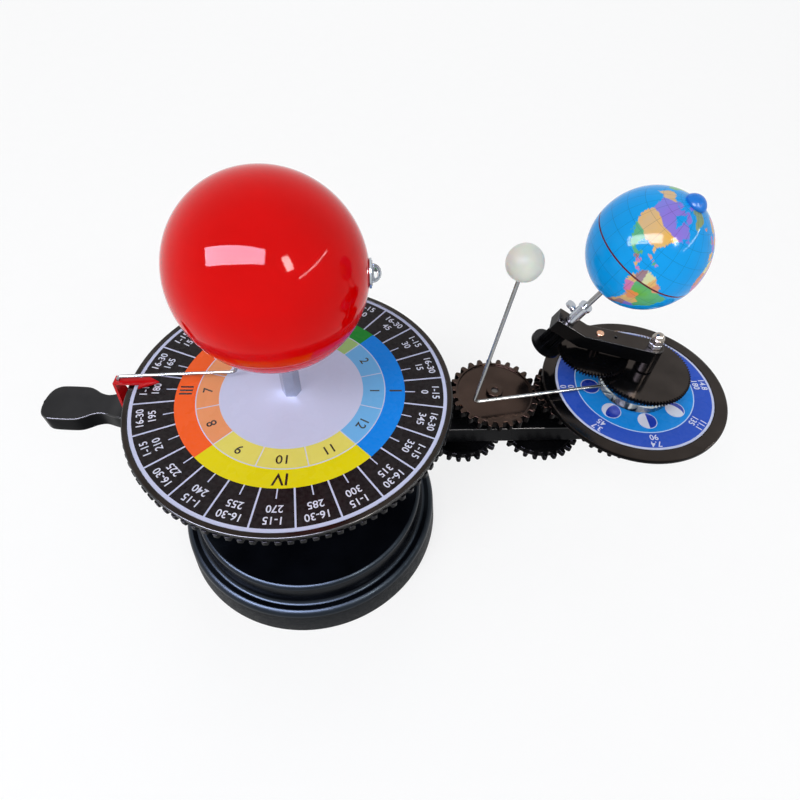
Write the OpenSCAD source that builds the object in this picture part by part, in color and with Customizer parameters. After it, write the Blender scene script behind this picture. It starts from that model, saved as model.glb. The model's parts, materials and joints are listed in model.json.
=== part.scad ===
// Tellurion: a hand-turned model of the Sun, the Earth and the Moon.
// Millimetres, +Z up. The origin is the centre of the base on the table.
// +X runs along the swing arm from the Sun to the Earth, and -Y is the front.

/* [Base] */
// Radius of the base flange on the table
base_r = 94; // [90:0.5:98]
// Height of the base flange
flange_h = 24.5; // [20:0.5:28]
// Width of the flange outside the raised step
step_inset = 12.5; // [11.5:0.5:16]
// Height of the raised step above the table
step_h = 43.5; // [39:0.5:50]
// Radius of the base column at its top
column_r = 24; // [21:0.5:25]
// Height of the column's top above the table
column_h = 104; // [96:1:116]
// Wall thickness of the base shell
base_wall = 3; // [2.5:0.25:3.5]

/* [Arm] */
// Width of the swing arm
arm_w = 35; // [32:0.5:37]
// Height of the swing arm's section
arm_t = 13; // [11.5:0.5:14]
// Wall thickness of the swing arm
arm_wall = 3; // [2.5:0.25:3.5]
// Reach of the handle from the Sun's axis
handle_reach = 155; // [148:1:165]
// Thickness of the handle
handle_t = 11.5; // [9:0.5:11.5]
// Half width of the handle's paddle
paddle_w = 12.9; // [11.5:0.1:14]
// Half width of the handle's neck
neck_w = 8.3; // [7:0.1:9.5]
// Turn of the handle away from the arm's line, in degrees
handle_turn = 4.3; // [0:0.1:5]

/* [Dial and phase disc] */
// Width of the dial's rim outside its printed label
dial_rim_w = 3.5; // [2.5:0.1:5]
// Radius of the phase disc
phase_r = 56; // [53:0.5:58]
// Radius of the printed label on the phase disc
phase_label_r = 48; // [45:0.5:50]
// Thickness of the printed labels
label_t = 0.5; // [0.3:0.1:0.6]

/* [Sun] */
// Radius of the Sun
sun_r = 47.7; // [46.5:0.1:50]
// Height of the Sun's centre above the dial
sun_lift = 85.4; // [83:0.2:92]
// Height of the Sun's seam below its centre
sun_seam = 20; // [18:0.5:24]
// Width across the flats of the hexagonal post
hex_af = 10; // [9:0.5:11]

/* [Earth and Moon] */
// Radius of the Earth globe
earth_r = 29.5; // [27:0.5:31]
// Height of the globe's centre above the bracket, along its axis
earth_lift = 59.5; // [57:0.5:64]
// Tilt of the Earth's axis from upright, in degrees
earth_tilt = 23.5; // [22.5:0.25:24]
// Direction of the bracket, turned back from the line to the Sun, in degrees
bracket_turn = 20; // [0:1:40]
// Radius of the Moon
moon_r = 8.8; // [8:0.1:10]
// Distance of the Moon wire's bend from the Earth's upright axis
moon_reach = 102.5; // [97:0.5:104]
// Lean of the Moon's wire toward that axis, from its bend to the Moon's centre
moon_lean = 11.3; // [6:0.1:14]
// Height of the Moon's centre above the phase disc
moon_lift = 100.8; // [92:0.2:106]
// Direction of the Moon, turned forward from the line to the Sun, in degrees
moon_turn = 8; // [0:1:30]
// Diameter of the bent wires
wire_d = 2; // [1.6:0.1:2.4]

/* [Gears] */
// Tooth module of the large gears
coarse_m = 2; // [1.96:0.01:2.06]
// Tooth module of the fine gears
fine_m = 0.6; // [0.58:0.01:0.62]
// Face width of the upper gears
upper_face = 5; // [4.5:0.25:5.5]
// Face width of the lower gears
lower_face = 4; // [3.75:0.25:5]

/* [Fits] */
// Radial clearance of a turning fit
run_gap = 0.06; // [0.02:0.01:0.1]
// Gap between flat faces that turn past each other
face_gap = 0.3; // [0.2:0.05:0.4]

/* [Hidden] */
$fn = 96;
pressure = 20;
ring_teeth = 96;
idler_teeth = 26;
moon_teeth = 4 * idler_teeth - ring_teeth;
central_teeth = 90;
step_teeth = 12;
transfer_teeth = 68;
rod_teeth = 18;

black = "#17171a";
zinc = "#b9bcc0";
steel = "#a9adb2";
brass = "#b8964a";

// Tooth heights and slack of the large gears, and the depth of their recessed webs
coarse_add = 0.62 * coarse_m;
coarse_ded = 1 * coarse_m;
coarse_slack = 0.12 * coarse_m;
ring_add = 0.1 * coarse_m;
web_recess = 1.2;

// Axes of the gear trains along the arm
ring_pitch = ring_teeth * coarse_m / 2;
idler_pitch = idler_teeth * coarse_m / 2;
upper_x = [ring_pitch + idler_pitch, ring_pitch + 3 * idler_pitch];
lower_x = [2 * idler_pitch, 4 * idler_pitch, 6 * idler_pitch];
earth_x = 8 * idler_pitch;

// Shafts
post_r = 5;
stud_r = 3;
pin_r = 2;
spindle_r = 2;
rivet_r = 1.2;
journal_r = 2.3;
rod_r = 1.5;
screw_r = 1.5;
screw_head_r = 2.75;
screw_head_h = 1.8;

// Heights up the Sun's axis
washer_t = 1;
lower_z = column_h + 1;
gear_top = lower_z + lower_face;
arm_z = gear_top + 4.5;
arm_top = arm_z + arm_t;
plate_t = 4.5;
bush_flange_z = gear_top + washer_t + 0.1;
bush_top = arm_top + 0.9;
dial_hub_z = bush_top + washer_t + 0.1;
upper_z = arm_top + 10.3;
upper_top = upper_z + upper_face;
ring_z = upper_z + 2.7;
ring_face = 3.5;
dial_z = ring_z + ring_face;
dial_floor = dial_z + 1.7;
dial_top = dial_floor + label_t;
rim_top = dial_top + 0.4;

// Dial and Sun
dial_r = ring_pitch - 0.4;
dial_label_r = dial_r - dial_rim_w;
sun_z = dial_top + sun_lift;
sun_wall = 2.2;
hex_r = hex_af / 2 / cos(30);
hex_top = sun_z - sun_r - 1.2;
spigot_top = sun_z - 18.6;
sun_bush_top = spigot_top + 2;
sun_bush_r = 6;
lamp_r = 6;
bulb_r = 4.6;

// Plinth, column seat, base plate and pillars
step_r = base_r - step_inset;
column_foot = column_r + 11;
seat_z = step_h + 3;
spigot_r = column_r - 1;
sole_top = 3.4;
screw_seat = screw_head_h + 0.3;
pillar_ring = step_r - 19.5;
pillar_r = 5;
ballast_r = pillar_ring - 2 * pillar_r;
ballast_bore = ballast_r - 40;
ballast_h = flange_h - 9.5;

// Swing arm: round ends and the bosses in its pocket
arm_hub_r = arm_w / 2 + 2.5;
arm_end_r = arm_w / 2 + 8.5;
hub_boss_r = 13;
end_boss_r = 9;
pin_boss_r = 6.5;

// Handle and date pointer, in the handle's own direction
handle_root = ring_pitch - 3.8;
pointer_r = ring_pitch + 6;
pointer_foot = pointer_r - 6;
tongue_x = handle_root - 38.2;
tongue_end = pointer_foot - face_gap;
tongue_w = 18;
tongue_t = 3.5;
neck_x = handle_reach - 35.5;
pointer_z = rim_top + 1.4;
pointer_t = 1.2;
wire_r = wire_d / 2;
leg_r = wire_r + 0.02;
bend_r = 3;
wire_foot = pointer_r - 0.9;
sun_wire_z = pointer_z + 4;
sun_wire_end = [-0.68 * sun_r, 0.216 * sun_r];
sun_wire_top = sun_z - 27.6;

// Phase disc and Moon carrier
phase_z = upper_top + 0.5;
phase_floor = dial_floor;
pillar_orbit = 18.5;
carrier_z = arm_top + 2 + face_gap;
tube_r = 4.5;
hub_r = 22;
hub_z = rim_top + 0.4;
hub_top = hub_z + 6;
moon_wire_z = hub_z + 3;
moon_rise = dial_top + moon_lift - moon_wire_z;
moon_bend = 90 + atan(moon_lean / moon_rise);
moon_leg = norm([moon_lean, moon_rise]);
central_z = hub_top + 6.6;
central_top = central_z + 3;

// Earth bracket and the fine gears
bracket_w = 11;
bracket_h = 9;
bracket_z = dial_top + 25;
bracket_top = bracket_z + bracket_h;
fine_add = fine_m;
fine_ded = 1.25 * fine_m;
transfer_x = (central_teeth + step_teeth) * fine_m / 2;
transfer_pitch = transfer_teeth * fine_m / 2;
transfer_face = 2.4;
transfer_z = central_top + 2.4;
transfer_mid = transfer_z + transfer_face / 2;
rod_pitch = rod_teeth * fine_m / 2;

// The tilted end starts at the kink. Its length puts the rod's pinion in mesh.
kink_x = 38.5;
mesh_x = transfer_x + transfer_pitch + rod_pitch / cos(earth_tilt);
end_run = (mesh_x - kink_x - (bracket_top - transfer_mid) * tan(earth_tilt))
    / (cos(earth_tilt) + sin(earth_tilt) * tan(earth_tilt));
foot_x = kink_x + end_run * cos(earth_tilt);
foot_z = bracket_top + end_run * sin(earth_tilt);
end_overhang = 7.8;
pinion_top = -bracket_h - 0.4;
pinion_face = 12.6;
collar_h = 2.2;
collar_r = 5;
transfer_hub_r = 3.4;
sleeve_r = 3.2;
sleeve_l = 13.7;
sleeve_lip = 3.9;
screw_lift = 5.6;

// Angle of an involute at radius r, in degrees
function involute(base, r) =
    r <= base ? 0 : sqrt(r * r / (base * base) - 1) * 180 / PI - acos(base / r);

// Half angle of a tooth at radius r, from its thickness on the pitch circle
function tooth_half(pitch, thick, r) =
    thick / pitch * 90 / PI
    + involute(pitch * cos(pressure), pitch)
    - involute(pitch * cos(pressure), max(r, pitch * cos(pressure)));

function polar(r, a) = [r * cos(a), r * sin(a)];

// Points of an arc
function arc(centre, r, from, to, steps) =
    [for (i = [0:steps]) centre + polar(r, from + (to - from) * i / steps)];

// A smooth blend from 0 to 1 while t goes from 0 to 1
function ease(t) = (1 - cos(180 * min(max(t, 0), 1))) / 2;

// Outline of a spur gear with a tooth on the +X side
module gear_outline(teeth, m, add, ded, thick, steps) {
    pitch = teeth * m / 2;
    root = pitch - ded;
    rise = add + ded;
    radii = [for (i = [0:steps]) root + rise * (i < steps ? i / (steps - 0.4) : 1)];
    half = [for (i = [0:steps]) tooth_half(pitch, thick, radii[i]) * (i < steps ? 1 : 0.75)];
    polygon([
        for (k = [0:teeth - 1])
            for (i = [0:2 * steps + 1])
                let (j = i <= steps ? i : 2 * steps + 1 - i)
                let (side = i <= steps ? -1 : 1)
                polar(radii[j], 360 * k / teeth + side * half[j])
    ]);
}

module coarse_outline(teeth, add) {
    gear_outline(teeth, coarse_m, add, coarse_ded, PI * coarse_m / 2 - coarse_slack, 5);
}

module fine_outline(teeth, slack) {
    gear_outline(teeth, fine_m, fine_add, fine_ded, PI * fine_m / 2 - slack, 3);
}

module tube(outer, inner, h) {
    difference() {
        cylinder(r = outer, h = h);
        translate([0, 0, -1]) cylinder(r = inner, h = h + 2);
    }
}

module hex_nut(af, bore, h) {
    difference() {
        cylinder(r = af / 2 / cos(30), h = h, $fn = 6);
        translate([0, 0, -1]) cylinder(r = bore, h = h + 2);
    }
}

// A pan-head screw standing on its head's seat, with the shank upward
module screw(shank) {
    translate([0, 0, -screw_head_h]) cylinder(r = screw_head_r, h = screw_head_h);
    cylinder(r = screw_r, h = shank);
}

// A straight length of wire along +X
module wire_run(length, r = wire_r) {
    rotate([0, 90, 0]) cylinder(r = r, h = length, $fn = 32);
}

// A bend upward out of +X, with the rest of the wire after it along +X again
module wire_bend(angle) {
    translate([0, 0, bend_r])
        rotate([90, 0, 0])
            rotate(-90)
                rotate_extrude(angle = angle, $fn = 96)
                    translate([bend_r, 0]) circle(r = wire_r, $fn = 32);
    translate([bend_r * sin(angle), 0, bend_r * (1 - cos(angle))])
        rotate([0, -angle, 0]) children();
}

// An idler with a recessed web on both faces and a hub on one side
module idler(face, hub_from, hub_to, bore, phase) {
    rim = idler_pitch - coarse_ded - 1.3;
    difference() {
        union() {
            difference() {
                rotate(phase) linear_extrude(face) coarse_outline(idler_teeth, coarse_add);
                translate([0, 0, face - web_recess]) cylinder(r = rim, h = web_recess + 1);
                translate([0, 0, -1]) cylinder(r = rim, h = web_recess + 1);
            }
            translate([0, 0, hub_from]) cylinder(r = 6, h = hub_to - hub_from);
        }
        translate([0, 0, hub_from - 1]) cylinder(r = bore, h = hub_to - hub_from + 2);
    }
}

// Places children on the Earth's upright axis, with +X out along the bracket
module on_bracket() {
    translate([earth_x, 0, 0]) rotate(180 - bracket_turn) children();
}

// Places children on the Earth's tilted axis, with z = 0 on the bracket's end
module on_axis() {
    on_bracket() translate([foot_x, 0, foot_z]) rotate([0, -earth_tilt, 0]) children();
}

// Places children along the handle's direction
module on_handle() {
    rotate(180 - handle_turn) children();
}

module base_outline() {
    edge = 5;
    step_edge = 3.5;
    draft = 1.7;
    polygon(concat(
        [[0, 0], [base_r, 0], [base_r - draft, flange_h - edge]],
        [[base_r - draft - edge, flange_h]],
        arc([step_r + 4.5, flange_h + 3], 3, 270, 180, 6),
        [[step_r, step_h - step_edge], [step_r - step_edge, step_h]],
        [[column_foot, seat_z], [0, seat_z]]
    ));
    translate([base_r - draft - edge, flange_h - edge]) circle(r = edge);
    translate([step_r - step_edge, step_h - step_edge]) circle(r = step_edge);
}

module base_hollow() {
    w = base_wall;
    polygon([
        [0, -1],
        [base_r - w, -1],
        [base_r - w - 1.7, flange_h - 6],
        [base_r - w - 4, flange_h - w],
        [step_r - w, flange_h - w],
        [step_r - w, step_h - 5],
        [step_r - w - 2, step_h - w],
        [column_foot, seat_z - w],
        [0, seat_z - w]
    ]);
}

module at_pillars() {
    for (a = [45:90:315]) rotate(a) translate([pillar_ring, 0, 0]) children();
}

module base_shell() {
    color(black)
    difference() {
        union() {
            rotate_extrude($fn = 180)
                difference() {
                    base_outline();
                    base_hollow();
                }
            at_pillars()
                translate([0, 0, sole_top]) cylinder(r = pillar_r, h = step_h - 1 - sole_top);
        }
        translate([0, 0, seat_z - base_wall - 1]) cylinder(r = spigot_r, h = base_wall + 2);
        at_pillars() translate([0, 0, sole_top - 1]) cylinder(r = screw_r, h = 13);
    }
}

// The hollow column plugs into the top of the plinth with a short spigot
module base_column() {
    sweep = 9;
    lip = 1.5;
    color(black)
    difference() {
        rotate_extrude($fn = 180)
            polygon(concat(
                [[0, seat_z - base_wall], [spigot_r, seat_z - base_wall], [spigot_r, seat_z]],
                [[column_foot, seat_z]],
                arc([column_foot, seat_z + lip + sweep], sweep, 270, 180, 8),
                [[column_r, column_h], [0, column_h]]
            ));
        translate([0, 0, seat_z - base_wall - 1])
            cylinder(r = column_r - base_wall, h = column_h - seat_z + 1);
        translate([0, 0, column_h - base_wall - 1]) cylinder(r = post_r, h = base_wall + 2);
    }
}

module base_plate() {
    color(black)
    difference() {
        cylinder(r = base_r - base_wall - 1.2, h = sole_top);
        at_pillars() {
            translate([0, 0, -1]) cylinder(r = screw_r + 0.1, h = sole_top + 2);
            translate([0, 0, -1]) cylinder(r = screw_head_r + 0.4, h = screw_seat + 1);
        }
    }
}

module base_screws() {
    color(zinc) at_pillars() translate([0, 0, screw_seat]) screw(12);
}

module ballast() {
    color("#4a4a4c") translate([0, 0, sole_top]) tube(ballast_r, ballast_bore, ballast_h);
}

module centre_post() {
    nut_z = column_h - base_wall - 9;
    color(steel) {
        translate([0, 0, nut_z]) cylinder(r = post_r, h = dial_top - nut_z);
        translate([0, 0, dial_top]) cylinder(r = stud_r, h = 11);
    }
}

module post_nut() {
    color(zinc) translate([0, 0, column_h - base_wall - 8]) hex_nut(17, post_r, 8);
}

module fixed_gear() {
    color(black) translate([0, 0, lower_z]) idler(lower_face, -1, lower_face, post_r, 0);
}

module thrust_washers() {
    color("#d8d4c8")
    for (z = [gear_top, dial_hub_z - washer_t])
        translate([0, 0, z]) tube(9, post_r, washer_t);
}

module at_ring_screws() {
    for (a = [30:60:330]) rotate(a) translate([ring_pitch - 9, 0, 0]) children();
}

module ring_gear() {
    color(black)
    difference() {
        translate([0, 0, ring_z]) linear_extrude(ring_face) coarse_outline(ring_teeth, ring_add);
        translate([0, 0, ring_z - 1]) cylinder(r = ring_pitch - 14, h = ring_face + 2, $fn = 180);
        at_ring_screws() translate([0, 0, ring_z - 1]) cylinder(r = screw_r, h = ring_face + 2);
    }
}

module ring_screws() {
    color(zinc) at_ring_screws() translate([0, 0, ring_z]) screw(ring_face + 1.2);
}

module dial_disc() {
    bevel = 0.5;
    lip = dial_label_r + 0.2;
    color(black)
    difference() {
        union() {
            rotate_extrude($fn = 180)
                polygon([
                    [0, dial_hub_z],
                    [12, dial_hub_z],
                    [12, dial_z],
                    [dial_r, dial_z],
                    [dial_r, rim_top - bevel],
                    [dial_r - bevel, rim_top],
                    [lip, rim_top],
                    [lip, dial_floor],
                    [hex_r + 0.2, dial_floor],
                    [hex_r + 0.2, dial_top],
                    [0, dial_top]
                ]);
            for (a = [0:45:315])
                rotate(a)
                    translate([11, -1, ring_z]) cube([ring_pitch - 25, 2, ring_face + 0.5]);
        }
        translate([0, 0, dial_hub_z - 1]) cylinder(r = post_r, h = 30);
        at_ring_screws() translate([0, 0, dial_z - 1]) cylinder(r = screw_r, h = 2.2);
    }
}

module dial_label() {
    color("#f4f4f6") translate([0, 0, dial_floor]) tube(dial_label_r, hex_r + 0.35, label_t, $fn = 180);
}

module hex_post() {
    color(zinc)
    difference() {
        union() {
            translate([0, 0, dial_top])
                cylinder(r = hex_r, h = hex_top - dial_top, $fn = 6);
            translate([0, 0, hex_top - 1]) cylinder(r = stud_r, h = spigot_top - hex_top + 1);
        }
        translate([0, 0, dial_top - 1]) cylinder(r = stud_r, h = 13);
    }
}

// Plan of the swing arm, drawn in by a wall's thickness for its pocket
module arm_plan(inset) {
    half = arm_w / 2 - inset;
    left = 4 - handle_root + inset;
    translate([left, -half]) square([earth_x - left, 2 * half]);
    translate([earth_x, 0]) circle(r = arm_end_r - inset);
    circle(r = arm_hub_r - inset);
}

module at_phase_pillars() {
    for (a = [-90:90:90])
        translate([earth_x, 0, 0]) rotate(a) translate([pillar_orbit, 0, 0]) children();
}

module at_handle_screws() {
    on_handle() for (x = [8, 26]) translate([tongue_x + x, 0, 0]) children();
}

module swing_arm() {
    color(black)
    difference() {
        translate([0, 0, arm_z]) linear_extrude(arm_t) arm_plan(0);
        translate([0, 0, arm_z - 1])
            linear_extrude(arm_t - plate_t + 1)
                difference() {
                    arm_plan(arm_wall);
                    circle(r = hub_boss_r);
                    translate([earth_x, 0]) circle(r = end_boss_r);
                    for (x = concat(upper_x, lower_x)) translate([x, 0]) circle(r = pin_boss_r);
                }
        for (x = concat(upper_x, lower_x))
            translate([x, 0, arm_z - 1]) cylinder(r = pin_r, h = arm_t + 2);
        translate([0, 0, arm_z - 1]) cylinder(r = 8, h = arm_t + 2);
        translate([earth_x, 0, arm_z - 1]) cylinder(r = 4.5, h = arm_t + 2);
        at_phase_pillars() translate([0, 0, arm_z]) cylinder(r = screw_r, h = arm_t + 1);
        at_handle_screws() translate([0, 0, arm_z]) cylinder(r = screw_r, h = arm_t + 1);
    }
}

module arm_bush() {
    color(brass)
    difference() {
        union() {
            translate([0, 0, bush_flange_z]) cylinder(r = 11, h = arm_z - bush_flange_z);
            translate([0, 0, bush_flange_z]) cylinder(r = 8, h = bush_top - bush_flange_z);
        }
        translate([0, 0, bush_flange_z - 1])
            cylinder(r = post_r + run_gap, h = bush_top - bush_flange_z + 2);
    }
}

module spindle_bush() {
    color(brass)
    translate([earth_x, 0, 0])
        difference() {
            union() {
                translate([0, 0, arm_z - 2]) cylinder(r = 4.5, h = arm_t + 3);
                translate([0, 0, arm_top]) cylinder(r = 7, h = 2);
            }
            translate([0, 0, arm_z - 3])
                cylinder(r = spindle_r + run_gap, h = arm_t + 6);
        }
}

// Half width of the handle at distance x from the Sun's axis
function handle_half(x) =
    arm_w / 2 - 0.5
    - (arm_w / 2 - 0.5 - neck_w) * ease((x - handle_root) / (neck_x - handle_root))
    + (paddle_w - neck_w) * ease((x - neck_x - 1) / 17);

module handle_plan() {
    near = 6.5;
    far = 14;
    front = [for (i = [0:23]) handle_root + (handle_reach - near - handle_root) * i / 24];
    back = [for (i = [23:-1:0]) handle_root + (handle_reach - far - handle_root) * i / 24];
    polygon(concat(
        [for (x = front) [x, handle_half(x)]],
        arc([handle_reach - near, paddle_w - near], near, 90, 0, 10),
        arc([handle_reach - far, far - paddle_w], far, 0, -90, 16),
        [for (x = back) [x, -handle_half(x)]]
    ));
}

module at_pointer_pegs() {
    for (y = [-3, 3]) translate([pointer_r - 3.5, y, 0]) children();
}

module turn_handle() {
    color(black)
    difference() {
        on_handle()
            difference() {
                union() {
                    translate([0, 0, arm_top - handle_t]) linear_extrude(handle_t) handle_plan();
                    translate([tongue_x, -tongue_w / 2, arm_top])
                        cube([tongue_end - tongue_x, tongue_w, tongue_t]);
                }
                at_pointer_pegs() translate([0, 0, arm_top - 4]) cylinder(r = 1.2, h = 5);
            }
        at_handle_screws() translate([0, 0, arm_top - 1]) cylinder(r = screw_r, h = tongue_t + 2);
    }
}

module handle_screws() {
    color(zinc)
    at_handle_screws()
        translate([0, 0, arm_top + tongue_t]) rotate([180, 0, 0]) screw(tongue_t + plate_t);
}

// The pointer is one bent piece: a foot, an upright strip and an arrow over the dial
module date_pointer() {
    head = 10.5;
    neck = pointer_r - 14;
    color("#c4121a")
    difference() {
        on_handle() {
            translate([pointer_foot, -6.5, arm_top]) cube([pointer_r + 1.5 - pointer_foot, 13, pointer_t]);
            translate([pointer_r, 0, arm_top])
                rotate([90, 0, 90])
                    linear_extrude(1.5)
                        polygon([
                            [-6.5, 0],
                            [6.5, 0],
                            [3.2, pointer_z + pointer_t - arm_top],
                            [-3.2, pointer_z + pointer_t - arm_top]
                        ]);
            translate([0, 0, pointer_z])
                linear_extrude(pointer_t)
                    polygon([
                        [pointer_r + 1.5, -3.2],
                        [pointer_r + 1.5, 3.2],
                        [neck, 2.5],
                        [neck, 5.4],
                        [neck - head, 0],
                        [neck, -5.4],
                        [neck, -2.5]
                    ]);
            at_pointer_pegs() translate([0, 0, arm_top - 3.5]) cylinder(r = 1.2, h = 4);
        }
        on_handle() translate([wire_foot, 0, pointer_z]) cylinder(r = wire_r, h = 4);
    }
}

module sun_drive_wire() {
    foot = polar(wire_foot, 180 - handle_turn);
    way = sun_wire_end - foot;
    rise = sun_wire_z - pointer_z;
    color(steel)
    translate([foot[0], foot[1], sun_wire_z])
        rotate(atan2(way[1], way[0])) {
            translate([0, 0, -rise]) cylinder(r = wire_r, h = rise - bend_r, $fn = 32);
            translate([bend_r, 0, 0])
                rotate([180, 0, 180])
                    wire_bend(90);
            translate([bend_r, 0, 0]) wire_run(norm(way) - 2 * bend_r);
            translate([norm(way) - bend_r, 0, 0])
                wire_bend(90) wire_run(sun_wire_top - sun_wire_z - bend_r);
        }
}

module upper_pins() {
    color(steel)
    for (x = upper_x) translate([x, 0, arm_z]) cylinder(r = pin_r, h = upper_top + 0.2 - arm_z);
}

module lower_pins() {
    color(steel)
    for (x = lower_x)
        translate([x, 0, lower_z - collar_h]) cylinder(r = pin_r, h = arm_top - lower_z + collar_h);
}

module pin_collars() {
    color(black) {
        translate([upper_x[0], 0, upper_top - web_recess + face_gap]) tube(collar_r, pin_r, collar_h);
        for (x = lower_x)
            translate([x, 0, lower_z - face_gap - collar_h]) tube(collar_r, pin_r, collar_h);
    }
}

module phase_pillars() {
    color(black)
    at_phase_pillars()
        difference() {
            translate([0, 0, arm_top]) cylinder(r = 3.5, h = phase_z - arm_top);
            translate([0, 0, arm_top - 1]) cylinder(r = screw_r, h = 11);
        }
}

module pillar_screws() {
    color(zinc) at_phase_pillars() translate([0, 0, arm_top - plate_t]) screw(plate_t + 9);
}

module phase_disc() {
    bevel = 0.5;
    lip = phase_label_r + 0.2;
    color(black)
    translate([earth_x, 0, 0])
        rotate_extrude($fn = 180)
            polygon([
                [tube_r + 0.7, phase_z],
                [phase_r - bevel, phase_z],
                [phase_r, phase_z + bevel],
                [phase_r, dial_top - bevel],
                [phase_r - bevel, dial_top + 0.2],
                [lip, dial_top + 0.2],
                [lip, phase_floor],
                [tube_r + 0.7, phase_floor]
            ]);
}

module phase_label() {
    color("#1f6fe0")
    translate([earth_x, 0, phase_floor]) tube(phase_label_r, tube_r + 1.5, label_t, $fn = 180);
}

// A part of the Sun's shell: a hollow ball with only the heights from low to high
module sun_slice(low, high) {
    intersection() {
        difference() {
            sphere(r = sun_r, $fn = 128);
            sphere(r = sun_r - sun_wall, $fn = 128);
        }
        translate([0, 0, low]) cylinder(r = sun_r + 1, h = high - low);
    }
}

module sun_upper_shell() {
    color("#d40a12")
    translate([0, 0, sun_z])
        difference() {
            sun_slice(-sun_seam, sun_r + 1);
            translate([sun_r - 8, 0, 0]) rotate([0, 90, 0]) cylinder(r = lamp_r, h = 12);
        }
}

module sun_lower_shell() {
    seat = sun_r - 4;
    color("#d40a12")
    difference() {
        translate([0, 0, sun_z])
            union() {
                sun_slice(-sun_r - 1, -sun_seam);
                translate([0, 0, -sun_r + 1.2]) cylinder(r = 9, h = sun_r - 1.2 - seat);
            }
        translate([0, 0, sun_z - sun_r - 1]) cylinder(r = sun_bush_r, h = 8);
        translate([sun_wire_end[0], sun_wire_end[1], sun_z - sun_r])
            cylinder(r = wire_r + face_gap, h = sun_r - sun_seam - 2);
    }
}

module sun_bush() {
    seat = sun_z - sun_r + 4;
    color("#e8e6df")
    difference() {
        union() {
            translate([0, 0, hex_top + face_gap])
                cylinder(r = sun_bush_r, h = sun_bush_top - hex_top - face_gap);
            translate([0, 0, seat]) cylinder(r = 9, h = 2);
        }
        translate([0, 0, hex_top]) cylinder(r = stud_r + run_gap, h = spigot_top - hex_top + 0.5);
    }
}

// Two cells lie side by side in an open tray on top of the bush
cell_r = 7.1;
cell_l = 50;
tray_wall = 1.5;
tray_x = -6;

module battery_box() {
    w = 4 * cell_r + 2 * tray_wall + 0.6;
    l = cell_l + 2 * tray_wall;
    color("#2b2b2d")
    translate([tray_x, 0, sun_bush_top])
        difference() {
            translate([-w / 2, -l / 2, 0]) cube([w, l, 14]);
            translate([-w / 2 + tray_wall, -cell_l / 2, tray_wall])
                cube([w - 2 * tray_wall, cell_l, 14]);
        }
}

module batteries() {
    color("#3a6b45")
    for (side = [-1, 1])
        translate([tray_x + side * (cell_r + 0.1), -cell_l / 2, sun_bush_top + tray_wall + cell_r])
            rotate([-90, 0, 0]) cylinder(r = cell_r, h = cell_l);
}

module lamp_holder() {
    flange_x = sqrt(sun_r * sun_r - lamp_r * lamp_r) + 0.02;
    color(zinc)
    translate([0, 0, sun_z])
        rotate([0, 90, 0])
            difference() {
                union() {
                    translate([0, 0, sun_r - 14]) cylinder(r = lamp_r, h = 15);
                    translate([0, 0, flange_x]) cylinder(r = lamp_r + 1.2, h = 1.2);
                }
                translate([0, 0, sun_r - 12]) cylinder(r = bulb_r, h = 20);
            }
}

module lamp_bulb() {
    color("#e6eef2")
    translate([0, 0, sun_z])
        rotate([0, 90, 0]) {
            translate([0, 0, sun_r - 12]) cylinder(r = bulb_r, h = 13);
            translate([0, 0, sun_r + 1]) sphere(r = bulb_r, $fn = 48);
        }
}

module upper_idler(x, phase) {
    color(black)
    translate([x, 0, upper_z])
        idler(
            upper_face, arm_top + face_gap - upper_z, upper_face - web_recess,
            pin_r + run_gap, phase
        );
}

module upper_gear_1() {
    upper_idler(upper_x[0], 180 / idler_teeth);
}

module upper_gear_2() {
    upper_idler(upper_x[1], 0);
}

module lower_idler(x, phase) {
    color(black)
    translate([x, 0, lower_z])
        idler(lower_face, 0, arm_z - face_gap - lower_z, pin_r + run_gap, phase);
}

module lower_gear_1() {
    lower_idler(lower_x[0], 180 / idler_teeth);
}

module lower_gear_2() {
    lower_idler(lower_x[1], 0);
}

module lower_gear_3() {
    lower_idler(lower_x[2], 180 / idler_teeth);
}

module moon_pinion() {
    color(black)
    translate([earth_x, 0, 0])
        difference() {
            union() {
                translate([0, 0, carrier_z]) cylinder(r = tube_r, h = central_top - carrier_z);
                translate([0, 0, upper_z - 0.4])
                    rotate(180 / moon_teeth)
                        linear_extrude(upper_face + 0.5)
                            gear_outline(
                                moon_teeth, coarse_m, coarse_add, coarse_ded,
                                PI * coarse_m / 2 - 0.35 * coarse_m, 6
                            );
            }
            translate([0, 0, carrier_z - 1])
                cylinder(r = spindle_r + run_gap, h = central_top - carrier_z + 2);
        }
}

module on_moon() {
    translate([earth_x, 0, 0]) rotate(180 + moon_turn) children();
}

module moon_hub() {
    color("#dfe8ea")
    difference() {
        translate([earth_x, 0, hub_z]) tube(hub_r, tube_r, hub_top - hub_z);
        on_moon()
            translate([9, 0, moon_wire_z]) wire_run(hub_r);
    }
}

module central_gear() {
    color(black)
    translate([earth_x, 0, central_z])
        rotate(180 - bracket_turn)
            difference() {
                linear_extrude(central_top - central_z) fine_outline(central_teeth, 0.2);
                translate([0, 0, -1]) cylinder(r = tube_r, h = 6);
            }
}

module moon_wire() {
    setback = bend_r * tan(moon_bend / 2);
    color(steel)
    on_moon()
        translate([9, 0, moon_wire_z]) {
            wire_run(moon_reach - 9 - setback);
            translate([moon_reach - 9 - setback, 0, 0])
                wire_bend(moon_bend)
                    translate([-0.2, 0, 0]) wire_run(moon_leg - setback - moon_r + 6, leg_r);
        }
}

module moon_ball() {
    color("#f1f0e8")
    on_moon()
        translate([moon_reach, 0, moon_wire_z])
            rotate([0, -moon_bend, 0])
                difference() {
                    translate([moon_leg, 0, 0]) sphere(r = moon_r);
                    translate([moon_leg - moon_r - 4, 0, 0]) wire_run(9.8, leg_r);
                }
}

module end_gear() {
    color(black)
    translate([earth_x, 0, lower_z]) idler(lower_face, 0, lower_face + 2, spindle_r, 0);
}

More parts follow.
